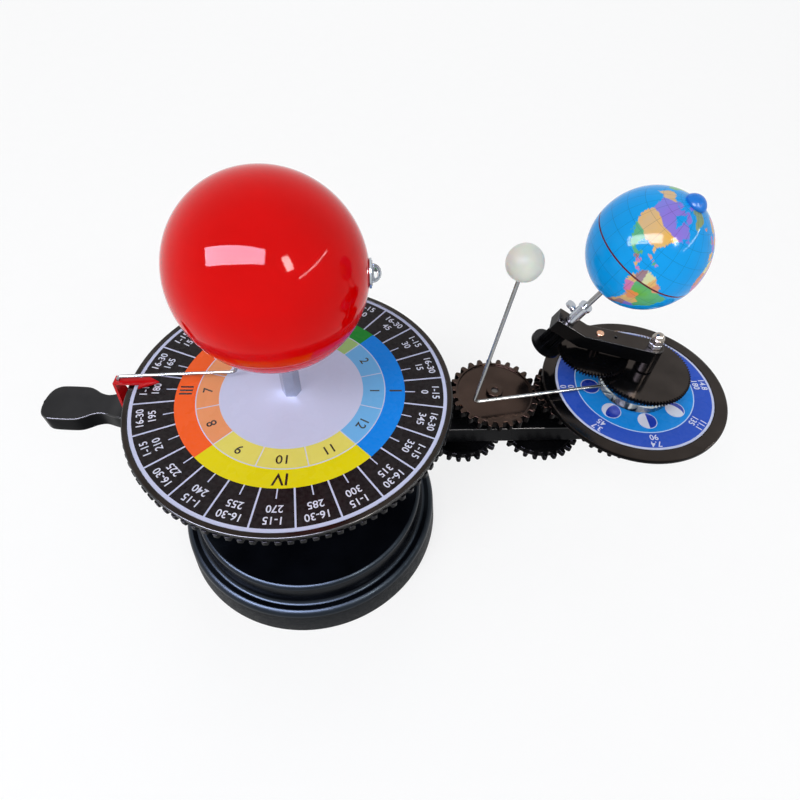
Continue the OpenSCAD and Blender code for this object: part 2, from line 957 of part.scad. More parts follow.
module spindle() {
    color(steel)
    translate([earth_x, 0, lower_z - 3]) cylinder(r = spindle_r, h = bracket_top + 8 - lower_z + 3);
}

module spindle_nut() {
    color(zinc) translate([earth_x, 0, lower_z - 3]) hex_nut(7, spindle_r, 3);
}

module earth_bracket() {
    half = bracket_w / 2;
    out = [cos(earth_tilt), sin(earth_tilt)];
    down = [sin(earth_tilt), -cos(earth_tilt)];
    tip = [foot_x, foot_z] + end_overhang * out;
    under = [kink_x, bracket_top] + bracket_h * tan(earth_tilt / 2) * [1, 0] - [0, bracket_h];
    color(black)
    difference() {
        on_bracket() {
            translate([0, half, 0])
                rotate([90, 0, 0])
                    linear_extrude(bracket_w)
                        polygon([
                            [0, bracket_z],
                            [0, bracket_top],
                            [kink_x, bracket_top],
                            tip,
                            tip + bracket_h * down,
                            under
                        ]);
            translate([0, 0, bracket_z]) cylinder(r = half, h = bracket_h);
            translate([0, 0, central_top + 0.6]) cylinder(r = half, h = bracket_z - central_top);
        }
        on_bracket() translate([0, 0, central_top]) cylinder(r = spindle_r, h = 40);
        on_bracket() translate([transfer_x, 0, bracket_z - 1]) cylinder(r = rivet_r, h = 12);
        on_bracket()
            translate([transfer_x - 9, 0, bracket_z - 1]) cylinder(r = 0.9, h = bracket_h + 2);
        on_axis() translate([0, 0, -bracket_h - 2]) cylinder(r = journal_r + run_gap, h = bracket_h + 4);
    }
}

module bracket_nut() {
    color(zinc) translate([earth_x, 0, bracket_top]) hex_nut(7, spindle_r, 3.2);
}

module cap_nut() {
    color(zinc)
    translate([earth_x, 0, bracket_top + 3.2])
        difference() {
            union() {
                cylinder(r = 3.5 / cos(30), h = 3.2, $fn = 6);
                translate([0, 0, 3.2]) sphere(r = 3.3, $fn = 48);
            }
            translate([0, 0, -1]) cylinder(r = spindle_r, h = 5.8);
        }
}

module transfer_pin() {
    color("#c8825a")
    on_bracket()
        translate([transfer_x, 0, 0]) {
            translate([0, 0, central_z - 1.6]) cylinder(r = rivet_r, h = bracket_top - central_z + 1.6);
            translate([0, 0, central_z - 2.4]) cylinder(r = 2.2, h = 0.9);
            translate([0, 0, bracket_top]) cylinder(r = 2.2, h = 0.9);
        }
}

// The central gear turns the small pinion, and the wide gear turns the Earth's rod
module transfer_gear() {
    foot = central_z - 1.2;
    color(black)
    on_bracket()
        translate([transfer_x, 0, 0])
            difference() {
                union() {
                    translate([0, 0, foot])
                        rotate(180 / step_teeth)
                            linear_extrude(transfer_z + 0.5 - foot) fine_outline(step_teeth, 0.3);
                    difference() {
                        translate([0, 0, transfer_z])
                            linear_extrude(transfer_face)
                                gear_outline(
                                    transfer_teeth, fine_m, 0.85 * fine_m, 2.2 * fine_m,
                                    PI * fine_m / 2 - 0.28, 3
                                );
                        translate([0, 0, transfer_z + 1.2])
                            cylinder(r = transfer_pitch - 4.4, h = transfer_face);
                    }
                    translate([0, 0, transfer_z + 0.6])
                        cylinder(r = transfer_hub_r, h = bracket_z - face_gap - transfer_z - 0.6);
                }
                translate([0, 0, foot - 1]) cylinder(r = rivet_r + run_gap, h = 20);
            }
}

module earth_sleeve() {
    low = pinion_top - pinion_face - 2.2;
    color(zinc)
    on_axis()
        difference() {
            union() {
                translate([0, 0, low]) cylinder(r = journal_r, h = face_gap - low + 1);
                translate([0, 0, face_gap]) cylinder(r = sleeve_r, h = sleeve_l);
                translate([0, 0, face_gap + sleeve_l - 2]) cylinder(r = sleeve_lip, h = 2);
            }
            translate([0, 0, -6]) cylinder(r = rod_r, h = 22);
            translate([0, 0, screw_lift]) rotate([0, 90, -45]) cylinder(r = rivet_r, h = 5);
        }
}

module earth_pinion() {
    color(black)
    on_axis()
        difference() {
            union() {
                translate([0, 0, pinion_top - pinion_face - 1])
                    rotate(180 / rod_teeth)
                        linear_extrude(pinion_face + 1)
                            gear_outline(
                                rod_teeth, fine_m, 0.7 * fine_m, 2.4 * fine_m,
                                PI * fine_m / 2 - 0.3, 3
                            );
                translate([0, 0, pinion_top - pinion_face - 2.2]) cylinder(r = 10, h = 2.2);
            }
            translate([0, 0, pinion_top - pinion_face - 3]) cylinder(r = journal_r, h = pinion_face + 4);
        }
}

module thumb_screw() {
    color(zinc)
    on_axis()
        translate([0, 0, screw_lift])
            rotate([0, 90, -45]) {
                translate([0, 0, rod_r]) cylinder(r = rivet_r, h = sleeve_r + 1);
                translate([0, 0, sleeve_r + 0.3]) cylinder(r = 1.9, h = 1.2);
                translate([-0.9, 0, sleeve_r + 3.8]) rotate([0, 90, 0]) cylinder(r = 2.8, h = 1.8);
            }
}

module earth_rod() {
    color(steel)
    on_axis() translate([0, 0, -6]) cylinder(r = rod_r, h = earth_lift + earth_r + 7);
}

// Half of the hollow globe, with a socket for the rod at its pole
module globe_half() {
    difference() {
        union() {
            intersection() {
                difference() {
                    sphere(r = earth_r, $fn = 128);
                    sphere(r = earth_r - 2, $fn = 128);
                }
                cylinder(r = earth_r + 1, h = earth_r + 1);
            }
            translate([0, 0, earth_r - 9]) cylinder(r = 4, h = 8);
        }
        cylinder(r = rod_r, h = earth_r + 2);
    }
}

module globe_north() {
    color("#1b8fd6") on_axis() translate([0, 0, earth_lift]) globe_half();
}

module globe_south() {
    color("#1b8fd6") on_axis() translate([0, 0, earth_lift]) rotate([180, 0, 0]) globe_half();
}

module pole_knob() {
    color("#1570c8")
    on_axis()
        translate([0, 0, earth_lift])
            difference() {
                union() {
                    translate([0, 0, earth_r - 1]) cylinder(r = 5.4, h = 2);
                    translate([0, 0, earth_r - 2.4])
                        intersection() {
                            sphere(r = 6.3, $fn = 64);
                            translate([0, 0, 3.4]) cylinder(r = 5.4, h = 5);
                        }
                }
                sphere(r = earth_r, $fn = 128);
                cylinder(r = rod_r, h = earth_r + 1);
            }
}

base_shell();
base_column();
base_plate();
base_screws();
ballast();
centre_post();
post_nut();
fixed_gear();
thrust_washers();
ring_gear();
ring_screws();
dial_disc();
dial_label();
hex_post();
swing_arm();
arm_bush();
spindle_bush();
turn_handle();
handle_screws();
date_pointer();
sun_drive_wire();
upper_pins();
lower_pins();
pin_collars();
phase_pillars();
pillar_screws();
phase_disc();
phase_label();
sun_upper_shell();
sun_lower_shell();
sun_bush();
battery_box();
batteries();
lamp_holder();
lamp_bulb();
upper_gear_1();
upper_gear_2();
lower_gear_1();
lower_gear_2();
lower_gear_3();
moon_pinion();
moon_hub();
central_gear();
moon_wire();
moon_ball();
end_gear();
spindle();
spindle_nut();
earth_bracket();
bracket_nut();
cap_nut();
transfer_pin();
transfer_gear();
earth_sleeve();
earth_pinion();
thumb_screw();
earth_rod();
globe_north();
globe_south();
pole_knob();
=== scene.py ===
# %% [markdown]
# # A tellurion, dressed for its portrait
# A tellurion is a classroom instrument: a hand turns the arm, and open gear
# trains carry the Earth and the Moon around the Sun. The imported solids come in
# first and stay where they are. Every piece below is measured from them, so the
# lesson starts by loading them.

# %% Load the solids
import json
import math

import bpy
import numpy as np
from mathutils import Matrix, Vector


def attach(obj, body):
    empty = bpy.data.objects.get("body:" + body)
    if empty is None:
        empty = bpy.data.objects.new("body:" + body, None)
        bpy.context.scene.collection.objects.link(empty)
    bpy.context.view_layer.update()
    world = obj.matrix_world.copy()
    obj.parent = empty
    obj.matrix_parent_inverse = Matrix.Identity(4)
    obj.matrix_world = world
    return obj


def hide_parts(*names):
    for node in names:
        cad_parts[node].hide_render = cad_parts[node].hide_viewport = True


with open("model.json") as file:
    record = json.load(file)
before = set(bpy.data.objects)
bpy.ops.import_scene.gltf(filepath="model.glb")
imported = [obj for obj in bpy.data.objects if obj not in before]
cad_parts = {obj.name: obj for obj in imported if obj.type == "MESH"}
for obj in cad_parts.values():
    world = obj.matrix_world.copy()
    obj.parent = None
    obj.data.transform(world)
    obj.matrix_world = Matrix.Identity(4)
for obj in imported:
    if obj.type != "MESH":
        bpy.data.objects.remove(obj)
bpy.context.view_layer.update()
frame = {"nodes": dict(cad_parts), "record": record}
MM = 0.001

# %% [markdown]
# ## The camera
# The photograph was taken by hand from above the front. Its lens and place were
# worked out from round parts of known size, and the two directions below are the
# picture's right and up in the object's frame.

# %% Place the camera
PICTURE = 800
FOCAL_PX = 563.2
CENTRE_PX = (411.0, 412.1)
EYE = Vector((49.26, -220.23, 401.41)) * MM
RIGHT = Vector((0.99789, -0.05211, 0.03863))
UP = Vector((0.01692, 0.78398, 0.62055))

lens = bpy.data.cameras.new("portrait_lens")
lens.sensor_width = 36
lens.lens = FOCAL_PX / PICTURE * lens.sensor_width
lens.shift_x = (PICTURE / 2 - CENTRE_PX[0]) / PICTURE
lens.shift_y = (CENTRE_PX[1] - PICTURE / 2) / PICTURE
lens.clip_start = 0.01
camera = bpy.data.objects.new("portrait_camera", lens)
bpy.context.scene.collection.objects.link(camera)
back = RIGHT.cross(UP).normalized()
turn = Matrix((RIGHT, back.cross(RIGHT), back)).transposed()
camera.matrix_world = Matrix.Translation(EYE) @ turn.to_4x4()
bpy.context.scene.camera = camera
print("lens", round(lens.lens, 2), "mm")

# %% [markdown]
# ## Helpers for shaders
# Every finish is a Principled shader fed by noise on Object coordinates. The first
# helpers add a node, fill its sockets and do arithmetic. The last one makes what
# nearly every surface has: a colour and a roughness that wander, and a fine grain.

# %% Shader helpers


def feed(item, sockets):
    """Fill sockets of a node with numbers, colours or outputs of other nodes."""
    for name, value in sockets.items():
        if isinstance(value, bpy.types.NodeSocket):
            item.id_data.links.new(value, item.inputs[name])
        else:
            item.inputs[name].default_value = value


def add_node(tree, kind, sockets=None, **settings):
    """Add a shader node with its settings and sockets."""
    item = tree.nodes.new(kind)
    for name, value in settings.items():
        setattr(item, name, value)
    feed(item, sockets or {})
    return item


def calc(operation, a, b=None):
    """One step of arithmetic in a shader; a or b is an output of another node."""
    tree = (a if isinstance(a, bpy.types.NodeSocket) else b).id_data
    sockets = {0: a} if b is None else {0: a, 1: b}
    return add_node(tree, "ShaderNodeMath", sockets, operation=operation).outputs[0]


def watched(tree):
    """1 for rays of the camera, of shiny surfaces and through clear ones."""
    rays = add_node(tree, "ShaderNodeLightPath").outputs
    shiny = calc("MAXIMUM", rays["Is Glossy Ray"], rays["Is Transmission Ray"])
    return calc("MAXIMUM", rays["Is Camera Ray"], shiny)


def noise_on(tree, scale, detail=3.0):
    """Noise on Object coordinates; the scale counts its waves in a metre."""
    place = add_node(tree, "ShaderNodeTexCoord").outputs["Object"]
    sockets = {"Vector": place, "Scale": scale, "Detail": detail}
    return add_node(tree, "ShaderNodeTexNoise", sockets).outputs["Fac"]


def wander(value, low, high):
    """Spread a noise value between two limits."""
    sockets = {"Value": value, "From Min": 0.3, "From Max": 0.7, "To Min": low, "To Max": high}
    return add_node(value.id_data, "ShaderNodeMapRange", sockets).outputs["Result"]


def blend_colours(factor, first, second):
    """Mix two colours by a factor that another node puts out."""
    sockets = {0: factor, 6: first, 7: second}
    return add_node(factor.id_data, "ShaderNodeMix", sockets, data_type="RGBA").outputs[2]


def blank(name):
    """A new material, its node tree and its Principled shader."""
    made = bpy.data.materials.new(name)
    made.use_nodes = True
    return made, made.node_tree, made.node_tree.nodes["Principled BSDF"]


def finish(name, dark, light, rough, grain=900.0, depth=0.02, patch=45.0, shine=0.5, top=None,
           **fixed):
    """A material whose colour, roughness and grain wander; top is a painted reflection on upward
    faces.
    """
    made, tree, shader = blank(name)
    broad = noise_on(tree, patch, 4.0)
    fine = noise_on(tree, grain, 2.0)
    sockets = {"Height": fine, "Strength": depth, "Distance": 0.0004}
    feed(shader, {
        "Base Color": blend_colours(wander(broad, 0.0, 1.0), (*dark, 1), (*light, 1)),
        "Roughness": wander(broad, *rough),
        "Normal": add_node(tree, "ShaderNodeBump", sockets).outputs["Normal"],
        "Specular IOR Level": shine,
    })
    feed(shader, {socket.replace("_", " "): value for socket, value in fixed.items()})
    # Painted reflection: upward faces get a stronger shine in the given tint, the sides a weak
    # one.
    if top:
        level, tint = top
        facing = add_node(tree, "ShaderNodeNewGeometry").outputs["Normal"]
        rise = add_node(tree, "ShaderNodeSeparateXYZ", {"Vector": facing}).outputs["Z"]
        sockets = {"Value": rise, "From Min": 0.55, "From Max": 0.95,
                   "To Min": shine, "To Max": level}
        upward = add_node(tree, "ShaderNodeMapRange", sockets).outputs["Result"]
        uneven = calc("MULTIPLY", upward, wander(broad, 0.8, 1.2))
        feed(shader, {"Specular IOR Level": uneven, "Specular Tint": (*tint, 1)})
    return made


print("shader helpers ready")

# %% [markdown]
# ## Light
# Three soft lamps light the object at a plain level, so that a colour looks about
# as it is written. They do not show in shiny surfaces. What shows there is the
# room of the photograph: a wide window at the left, a small one at the right and
# a narrow bright gap, whose places were worked out from the ball's reflections.

# %% Set up the light
AIM = Vector((0.06, 0.0, 0.18))


def lamp_at(name, azimuth, height, distance, size, power, colour=(1, 1, 1), roll=0, shine=False):
    """Hang a rectangular lamp in a direction in degrees; its long side starts level."""
    lamp = bpy.data.lights.new(name, "AREA")
    lamp.shape = "RECTANGLE"
    lamp.size, lamp.size_y = size
    lamp.energy, lamp.color = power, colour
    holder = bpy.data.objects.new(name, lamp)
    bpy.context.scene.collection.objects.link(holder)
    a, h = math.radians(azimuth), math.radians(height)
    way = Vector((math.cos(a) * math.cos(h), math.sin(a) * math.cos(h), math.sin(h)))
    level = Vector((-math.sin(a), math.cos(a), 0))
    turn = Matrix((level, way.cross(level), way)).transposed()
    tip = Matrix.Rotation(math.radians(roll), 4, "Z")
    holder.matrix_world = Matrix.Translation(AIM + way * distance) @ turn.to_4x4() @ tip
    holder.visible_glossy = shine
    holder.visible_diffuse = not shine


LEFT, RIGHT_SIDE = (-132, 50), (-53, 44)
FAR, NEAR = 3.0, 1.2
lamp_at("left_fill", *LEFT, FAR, (1.2, 1.0), 34)
lamp_at("right_fill", *RIGHT_SIDE, FAR, (1.0, 1.0), 14)
lamp_at("back_fill", 90, 25, FAR, (2.0, 1.0), 14)
lamp_at("wide_window", *LEFT, NEAR, (1.35, 0.36), 88, (0.78, 0.78, 1.0), roll=29, shine=True)
lamp_at("small_window", *RIGHT_SIDE, NEAR, (0.17, 0.3), 10, (1.0, 0.94, 0.9), shine=True)
lamp_at("bright_gap", -22, 28, NEAR, (1.0, 0.03), 3.2, shine=True)
print("lamps:", len(bpy.data.lights))

# %% [markdown]
# The world is plain white to the camera, to shiny surfaces and through clear ones,
# and a milder grey for the light that it throws.

# %% Make the white world
world = bpy.data.worlds.new("white_room")
bpy.context.scene.world = world
world.use_nodes = True
tree = world.node_tree
tree.nodes.clear()
thrown = add_node(tree, "ShaderNodeBackground", {"Color": (0.93, 0.96, 1.0, 1), "Strength": 0.5})
backdrop = add_node(tree, "ShaderNodeBackground", {"Color": (1, 1, 1, 1), "Strength": 1.0})
choose = add_node(tree, "ShaderNodeMixShader",
                  {0: watched(tree), 1: thrown.outputs[0], 2: backdrop.outputs[0]})
add_node(tree, "ShaderNodeOutputWorld", {"Surface": choose.outputs[0]})
bpy.context.scene.view_settings.view_transform = "Standard"
print("world: white to the eye, grey as a lamp")

# %% [markdown]
# ## The finishes
# The moulded pieces are black polystyrene: nearly black and smooth, with a weak
# mirror, so that only bright windows show in their edges. Upward faces carry a
# painted reflection: a stronger shine, brown-tinted on the gears and discs, that
# stands in for a warm room. The plinth is blue-black with a painted blue tint in
# its mirror, and its upright band is coarse.

# %% Make the finishes


def srgb(red, green, blue):
    """A colour from picture values of 0 to 255, made linear for a shader."""
    values = [v / 255 for v in (red, green, blue)]
    return tuple(v / 12.92 if v <= 0.04045 else ((v + 0.055) / 1.055) ** 2.4 for v in values)


SOOT = (0.0016, 0.0018, 0.0022), (0.003, 0.0032, 0.0036)
NIGHT = (0.0014, 0.0018, 0.003), (0.0026, 0.0032, 0.0052)
# Painted reflection: this blue tint on the plinth's mirror stands in for a blue room.
PAINTED_BLUE_SHEEN = (0.62, 0.8, 1.0, 1)
gloss_black = finish("gloss_black", *NIGHT, (0.14, 0.24), grain=420, depth=0.03,
                     shine=0.06, Specular_Tint=PAINTED_BLUE_SHEEN)
ridge_black = finish("ridge_black", *NIGHT, (0.28, 0.38), grain=420, depth=0.03,
                     shine=0.28, Specular_Tint=PAINTED_BLUE_SHEEN)
edge_black = finish("edge_black", *SOOT, (0.16, 0.26), depth=0.03, shine=0.5)
grained_black = finish("grained_black", (0.0016, 0.002, 0.0026), (0.0052, 0.006, 0.0075),
                       (0.42, 0.55), grain=1500, depth=0.6, patch=260,
                       shine=0.05, Specular_Tint=PAINTED_BLUE_SHEEN)
# Painted reflection: top makes upward faces shine more than the sides.
satin_black = finish("satin_black", *SOOT, (0.2, 0.3), grain=1500, depth=0.06,
                     top=(0.2, (0.95, 0.93, 1.0)), shine=0.04)
handle_black = finish("handle_black", *SOOT, (0.12, 0.2), grain=1500, depth=0.05,
                      top=(0.3, (0.94, 0.93, 1.0)), shine=0.04)
# Painted reflection: the brown tint on the upward faces of these two stands in for a warm room.
black_painted_warm_sheen = finish("black_painted_warm_sheen", *SOOT, (0.08, 0.16), grain=700, depth=0.03, patch=70,
                    top=(0.36, (1.0, 0.77, 0.64)), shine=0.04)
gear_black = finish("gear_black", *SOOT, (0.14, 0.24), grain=700, depth=0.05, patch=60,
                    top=(0.56, (1.0, 0.6, 0.44)), shine=0.04)
zinc_plate = finish("zinc_plate", (0.42, 0.45, 0.49), (0.5, 0.53, 0.57), (0.16, 0.24),
                    grain=2200, depth=0.04, patch=120, Metallic=1.0)
warm_nickel = finish("warm_nickel", (0.3, 0.27, 0.24), (0.4, 0.36, 0.32), (0.16, 0.24),
                     grain=2200, depth=0.04, patch=120, Metallic=1.0)
drawn_steel = finish("drawn_steel", (0.27, 0.28, 0.28), (0.33, 0.34, 0.34), (0.2, 0.26),
                     grain=1800, patch=60, Metallic=1.0)
dull_steel = finish("dull_steel", (0.09, 0.085, 0.08), (0.13, 0.12, 0.11), (0.34, 0.46),
                    grain=1600, depth=0.04, Metallic=1.0)
turned_brass = finish("turned_brass", (0.55, 0.38, 0.14), (0.68, 0.5, 0.22), (0.24, 0.36),
                      patch=200, Metallic=1.0)
cast_iron = finish("cast_iron", (0.05, 0.05, 0.052), (0.09, 0.088, 0.085), (0.6, 0.8),
                   grain=700, depth=0.5, Metallic=0.6)
nylon = finish("nylon", (0.7, 0.68, 0.6), (0.8, 0.78, 0.72), (0.45, 0.55))
rivet_copper = finish("rivet_copper", (0.62, 0.33, 0.2), (0.78, 0.5, 0.36), (0.22, 0.34),
                      patch=300, Metallic=1.0)
sun_red = finish("sun_red", srgb(214, 0, 0), srgb(222, 0, 1), (0.03, 0.06),
                 grain=130, depth=0.008, shine=0.095)
pointer_red = finish("pointer_red", srgb(186, 4, 14), srgb(204, 8, 16), (0.14, 0.22),
                     grain=500, depth=0.03, shine=0.2)
knob_blue = finish("knob_blue", srgb(20, 110, 205), srgb(30, 125, 220), (0.18, 0.26),
                   depth=0.015, shine=0.16)
moon_white = finish("moon_white", srgb(206, 212, 204), srgb(218, 222, 212), (0.34, 0.46),
                    grain=800, depth=0.05, patch=90, Subsurface_Weight=0.5,
                    Subsurface_Scale=0.008, shine=0.1)
cell_wrap = finish("cell_wrap", (0.03, 0.12, 0.07), (0.05, 0.17, 0.1), (0.25, 0.35))
clear_acrylic = finish("clear_acrylic", (0.42, 0.46, 0.46), (0.56, 0.6, 0.6), (0.0, 0.02),
                       grain=260, Transmission_Weight=1.0, IOR=1.49)
lamp_glass = finish("lamp_glass", (0.94, 0.96, 0.97), (0.99, 1.0, 1.0), (0.01, 0.03),
                    depth=0.01, Transmission_Weight=1.0, IOR=1.46)
PRINT_ROUGH = (0.24, 0.34)
print_white = finish("print_white", srgb(212, 218, 238), srgb(222, 226, 242), PRINT_ROUGH)
print_black = finish("print_black", srgb(16, 16, 18), srgb(30, 30, 32), PRINT_ROUGH)
print_navy = finish("print_navy", srgb(18, 52, 168), srgb(26, 62, 184), PRINT_ROUGH)
print("finishes made:", len(bpy.data.materials))

# %% [markdown]
# A solid's material decides its finish. A few solids have a finish of their own,
# such as the gears that are seen from above.

# %% Give each solid its finish
FINISH_OF_SLOT = {
    "black_plastic": satin_black, "zinc": zinc_plate, "steel": drawn_steel, "brass": turned_brass,
    "iron": cast_iron, "nylon": nylon, "red_plastic": sun_red, "pointer_red": pointer_red,
    "cell_wrap": cell_wrap, "bulb_glass": lamp_glass, "clear_plastic": clear_acrylic,
    "moon_white": moon_white, "copper": rivet_copper, "blue_plastic": knob_blue,
}
FINISH_OF_NODE = {
    "upper_gear_1": gear_black, "upper_gear_2": gear_black, "pin_collars": gear_black,
    "upper_pins": dull_steel, "cap_nut": warm_nickel,
}
# These solids take the painted warm reflection on their upward faces.
for node in ("central_gear", "transfer_gear", "phase_disc", "dial_disc", "earth_bracket"):
    FINISH_OF_NODE[node] = black_painted_warm_sheen
slot_of_node = {row["node"]: row["material_slot"] for row in frame["record"]["subparts"]}


def finish_of(node):
    """The finish of a solid: its own, or the one of its slot."""
    return FINISH_OF_NODE.get(node) or FINISH_OF_SLOT.get(slot_of_node[node], satin_black)


for node, solid in frame["nodes"].items():
    solid.data.materials.clear()
    solid.data.materials.append(finish_of(node))
print("finishes given to", len(frame["nodes"]), "solids")

# %% [markdown]
# ## Helpers for shapes
# A turned piece is an outline spun around an axis. A moulded piece that the
# solids already have right only needs its sharp edges broken, as a mould's are:
# it is a merged copy of the solid with a narrow bevel. Hands polish the edges of
# the arm and of other bare plastic, so there the bevel has a shinier finish.

# %% Shape helpers


def fresh_start():
    """Leave edit mode and let go of everything."""
    if bpy.context.object and bpy.context.object.mode != "OBJECT":
        bpy.ops.object.mode_set(mode="OBJECT")
    bpy.ops.object.select_all(action="DESELECT")


def edit_all():
    """Enter edit mode with everything selected."""
    bpy.ops.object.mode_set(mode="EDIT")
    bpy.ops.mesh.select_all(action="SELECT")


def take(piece):
    """Let go of everything and pick one piece up."""
    fresh_start()
    piece.select_set(True)
    bpy.context.view_layer.objects.active = piece


def at(x, y, z):
    """A shift in millimetres."""
    return Matrix.Translation((x * MM, y * MM, z * MM))


def spun(angle, axis="Z"):
    """A turn in degrees."""
    return Matrix.Rotation(math.radians(angle), 4, axis)


def arc(cx, cz, r, start, end, steps):
    """Points of an arc in an outline, in millimetres and degrees."""
    angles = [math.radians(start + (end - start) * i / steps) for i in range(steps + 1)]
    return [(cx + r * math.cos(a), cz + r * math.sin(a)) for a in angles]


def lathe(name, outline, steps=160, smooth=35):
    """Turn an outline of (radius, height) in millimetres about the upright axis."""
    fresh_start()
    bpy.ops.mesh.primitive_plane_add(size=MM)
    piece = bpy.context.object
    piece.name = piece.data.name = name
    edit_all()
    bpy.ops.mesh.merge(type="CENTER")
    bpy.ops.transform.translate(value=(outline[0][0] * MM, 0, outline[0][1] * MM))
    for here, there in zip(outline, outline[1:]):
        step = ((there[0] - here[0]) * MM, 0, (there[1] - here[1]) * MM)
        bpy.ops.mesh.extrude_vertices_move(TRANSFORM_OT_translate={"value": step})
    bpy.ops.mesh.select_all(action="SELECT")
    bpy.ops.mesh.spin(steps=steps, angle=2 * math.pi, center=(0, 0, 0), axis=(0, 0, 1))
    bpy.ops.mesh.select_all(action="SELECT")
    bpy.ops.mesh.remove_doubles(threshold=1e-6)
    bpy.ops.mesh.normals_make_consistent(inside=False)
    bpy.ops.object.mode_set(mode="OBJECT")
    bpy.ops.object.shade_smooth_by_angle(angle=math.radians(smooth))
    return piece


def settle(piece, place):
    """Move a piece to its place and put that place into its mesh."""
    take(piece)
    piece.matrix_world = place
    bpy.ops.object.transform_apply(location=True, rotation=True, scale=True)
    return piece


def thicken(height):
    """Pull the flat mesh in hand up by a height in millimetres and close it."""
    edit_all()
    bpy.ops.mesh.extrude_region_move(TRANSFORM_OT_translate={"value": (0, 0, height * MM)})
    bpy.ops.mesh.select_all(action="SELECT")
    bpy.ops.mesh.normals_make_consistent(inside=False)
    bpy.ops.object.mode_set(mode="OBJECT")


def join_all(name, items):
    """Join pieces into the first one and name it."""
    take(items[0])
    for item in items:
        item.select_set(True)
    bpy.ops.object.join()
    items[0].name = items[0].data.name = name
    return items[0]


def dress(piece, body, finish_used, *nodes):
    """Give a piece its finish, its body and the solids that it stands for."""
    piece.data.materials.clear()
    piece.data.materials.append(finish_used)
    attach(piece, body)
    if nodes:
        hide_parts(*nodes)
    return piece


def bevel_edges(piece, width, segments, corner, polished):
    """Break the edges sharper than a corner in degrees; polished ones have their own finish."""
    bpy.ops.object.shade_smooth_by_angle(angle=math.radians(corner))
    bevel = piece.modifiers.new("broken_edges", "BEVEL")
    bevel.width, bevel.segments = width * MM, segments
    bevel.limit_method, bevel.angle_limit = "ANGLE", math.radians(corner)
    bevel.use_clamp_overlap, bevel.loop_slide, bevel.harden_normals = False, False, True
    if polished:
        piece.data.materials.append(edge_black)
        bevel.material = 1
    bpy.ops.object.modifier_apply(modifier=bevel.name)


body_of_node = {node: body for body, nodes in frame["record"]["behaviour"]["bodies"].items()
                for node in nodes}


def broken_edges(node, width, polished):
    """A copy of a solid with its sharp edges broken by a narrow bevel."""
    piece = frame["nodes"][node].copy()
    piece.data = piece.data.copy()
    piece.name = piece.data.name = node + "_moulded"
    piece.parent = None
    bpy.context.scene.collection.objects.link(piece)
    take(piece)
    bpy.ops.mesh.customdata_custom_splitnormals_clear()
    edit_all()
    bpy.ops.mesh.remove_doubles(threshold=2e-6)
    bpy.ops.mesh.dissolve_limited(angle_limit=math.radians(0.4))
    bpy.ops.object.mode_set(mode="OBJECT")
    dress(piece, body_of_node[node], finish_of(node), node)
    bevel_edges(piece, width, 2, 34, polished)
    return piece


print("shape helpers ready")

# %% [markdown]
# ## The floor
# A wide pale sheet carries the shadow. Seen by the camera, in a shiny surface or
# through a clear one, most of it glows plain white, so the picture keeps the
# white background of the photograph and the shadow stays as a soft grey.

# %% Lay the floor
GLOW_SHARE = 0.75
fresh_start()
bpy.ops.mesh.primitive_plane_add(size=6, location=(0.05, 0, -0.0002))
floor = bpy.context.object
floor.name = "floor"
bpy.ops.object.mode_set(mode="EDIT")
bpy.ops.mesh.subdivide(number_cuts=2)
bpy.ops.object.mode_set(mode="OBJECT")
floor_white = finish("floor_white", (0.94, 0.94, 0.94), (0.96, 0.96, 0.96), (0.7, 0.8))
tree = floor_white.node_tree
paper = tree.nodes["Principled BSDF"].outputs[0]
glow = add_node(tree, "ShaderNodeEmission", {"Color": (1, 1, 1, 1), "Strength": 1.0}).outputs[0]
share = calc("MULTIPLY", watched(tree), GLOW_SHARE)
both = add_node(tree, "ShaderNodeMixShader", {0: share, 1: paper, 2: glow}).outputs[0]
feed(tree.nodes["Material Output"], {"Surface": both})
floor.data.materials.append(floor_white)
print("floor laid")

# %% [markdown]
# ## The base
# The plinth is one moulding: an upright grained band, a rounded shoulder, a
# raised step and an opening for the column. It is a body of revolution, so its
# outline is drawn once and spun, with real arcs at the shoulder and the step.

# %% Turn the base
BAND_TOP, BAND_IN = 19.6, 91.5
base_outline = (
    arc(93.2, 0.8, 0.8, -90, 0, 4)
    + arc(87.3, 19.5, 5, 5, 90, 12)
    + arc(86, 27.5, 3, 270, 180, 8)
    + arc(78, 40, 3.5, 3, 92, 10)
    + [(35, 46.5), (23, 46.5), (23, 43.5), (35, 43.5), (76.5, 40.5), (78.5, 38.5),
       (78.5, 21.5), (87, 21.5), (89.3, 18.5), (91, 0)]
)
base = lathe("plinth", base_outline + base_outline[:1], steps=192)
dress(base, "base", gloss_black, "base_shell")
base.data.materials.append(grained_black)
base.data.materials.append(ridge_black)
for face in base.data.polygons:
    spot = face.center / MM
    if spot.z < BAND_TOP and math.hypot(spot.x, spot.y) > BAND_IN:
        face.material_index = 1
    elif 0.2 < face.normal.z < 0.96:
        face.material_index = 2
print("plinth:", len(base.data.polygons), "faces")

# %% [markdown]
# ## Moulded and turned parts
# The gears, the arm, the discs and the fittings keep the solids' shapes. Their
# edges are broken a little, because it is the edge that catches the light. The
# boss under the bracket is as shiny as an edge all round.

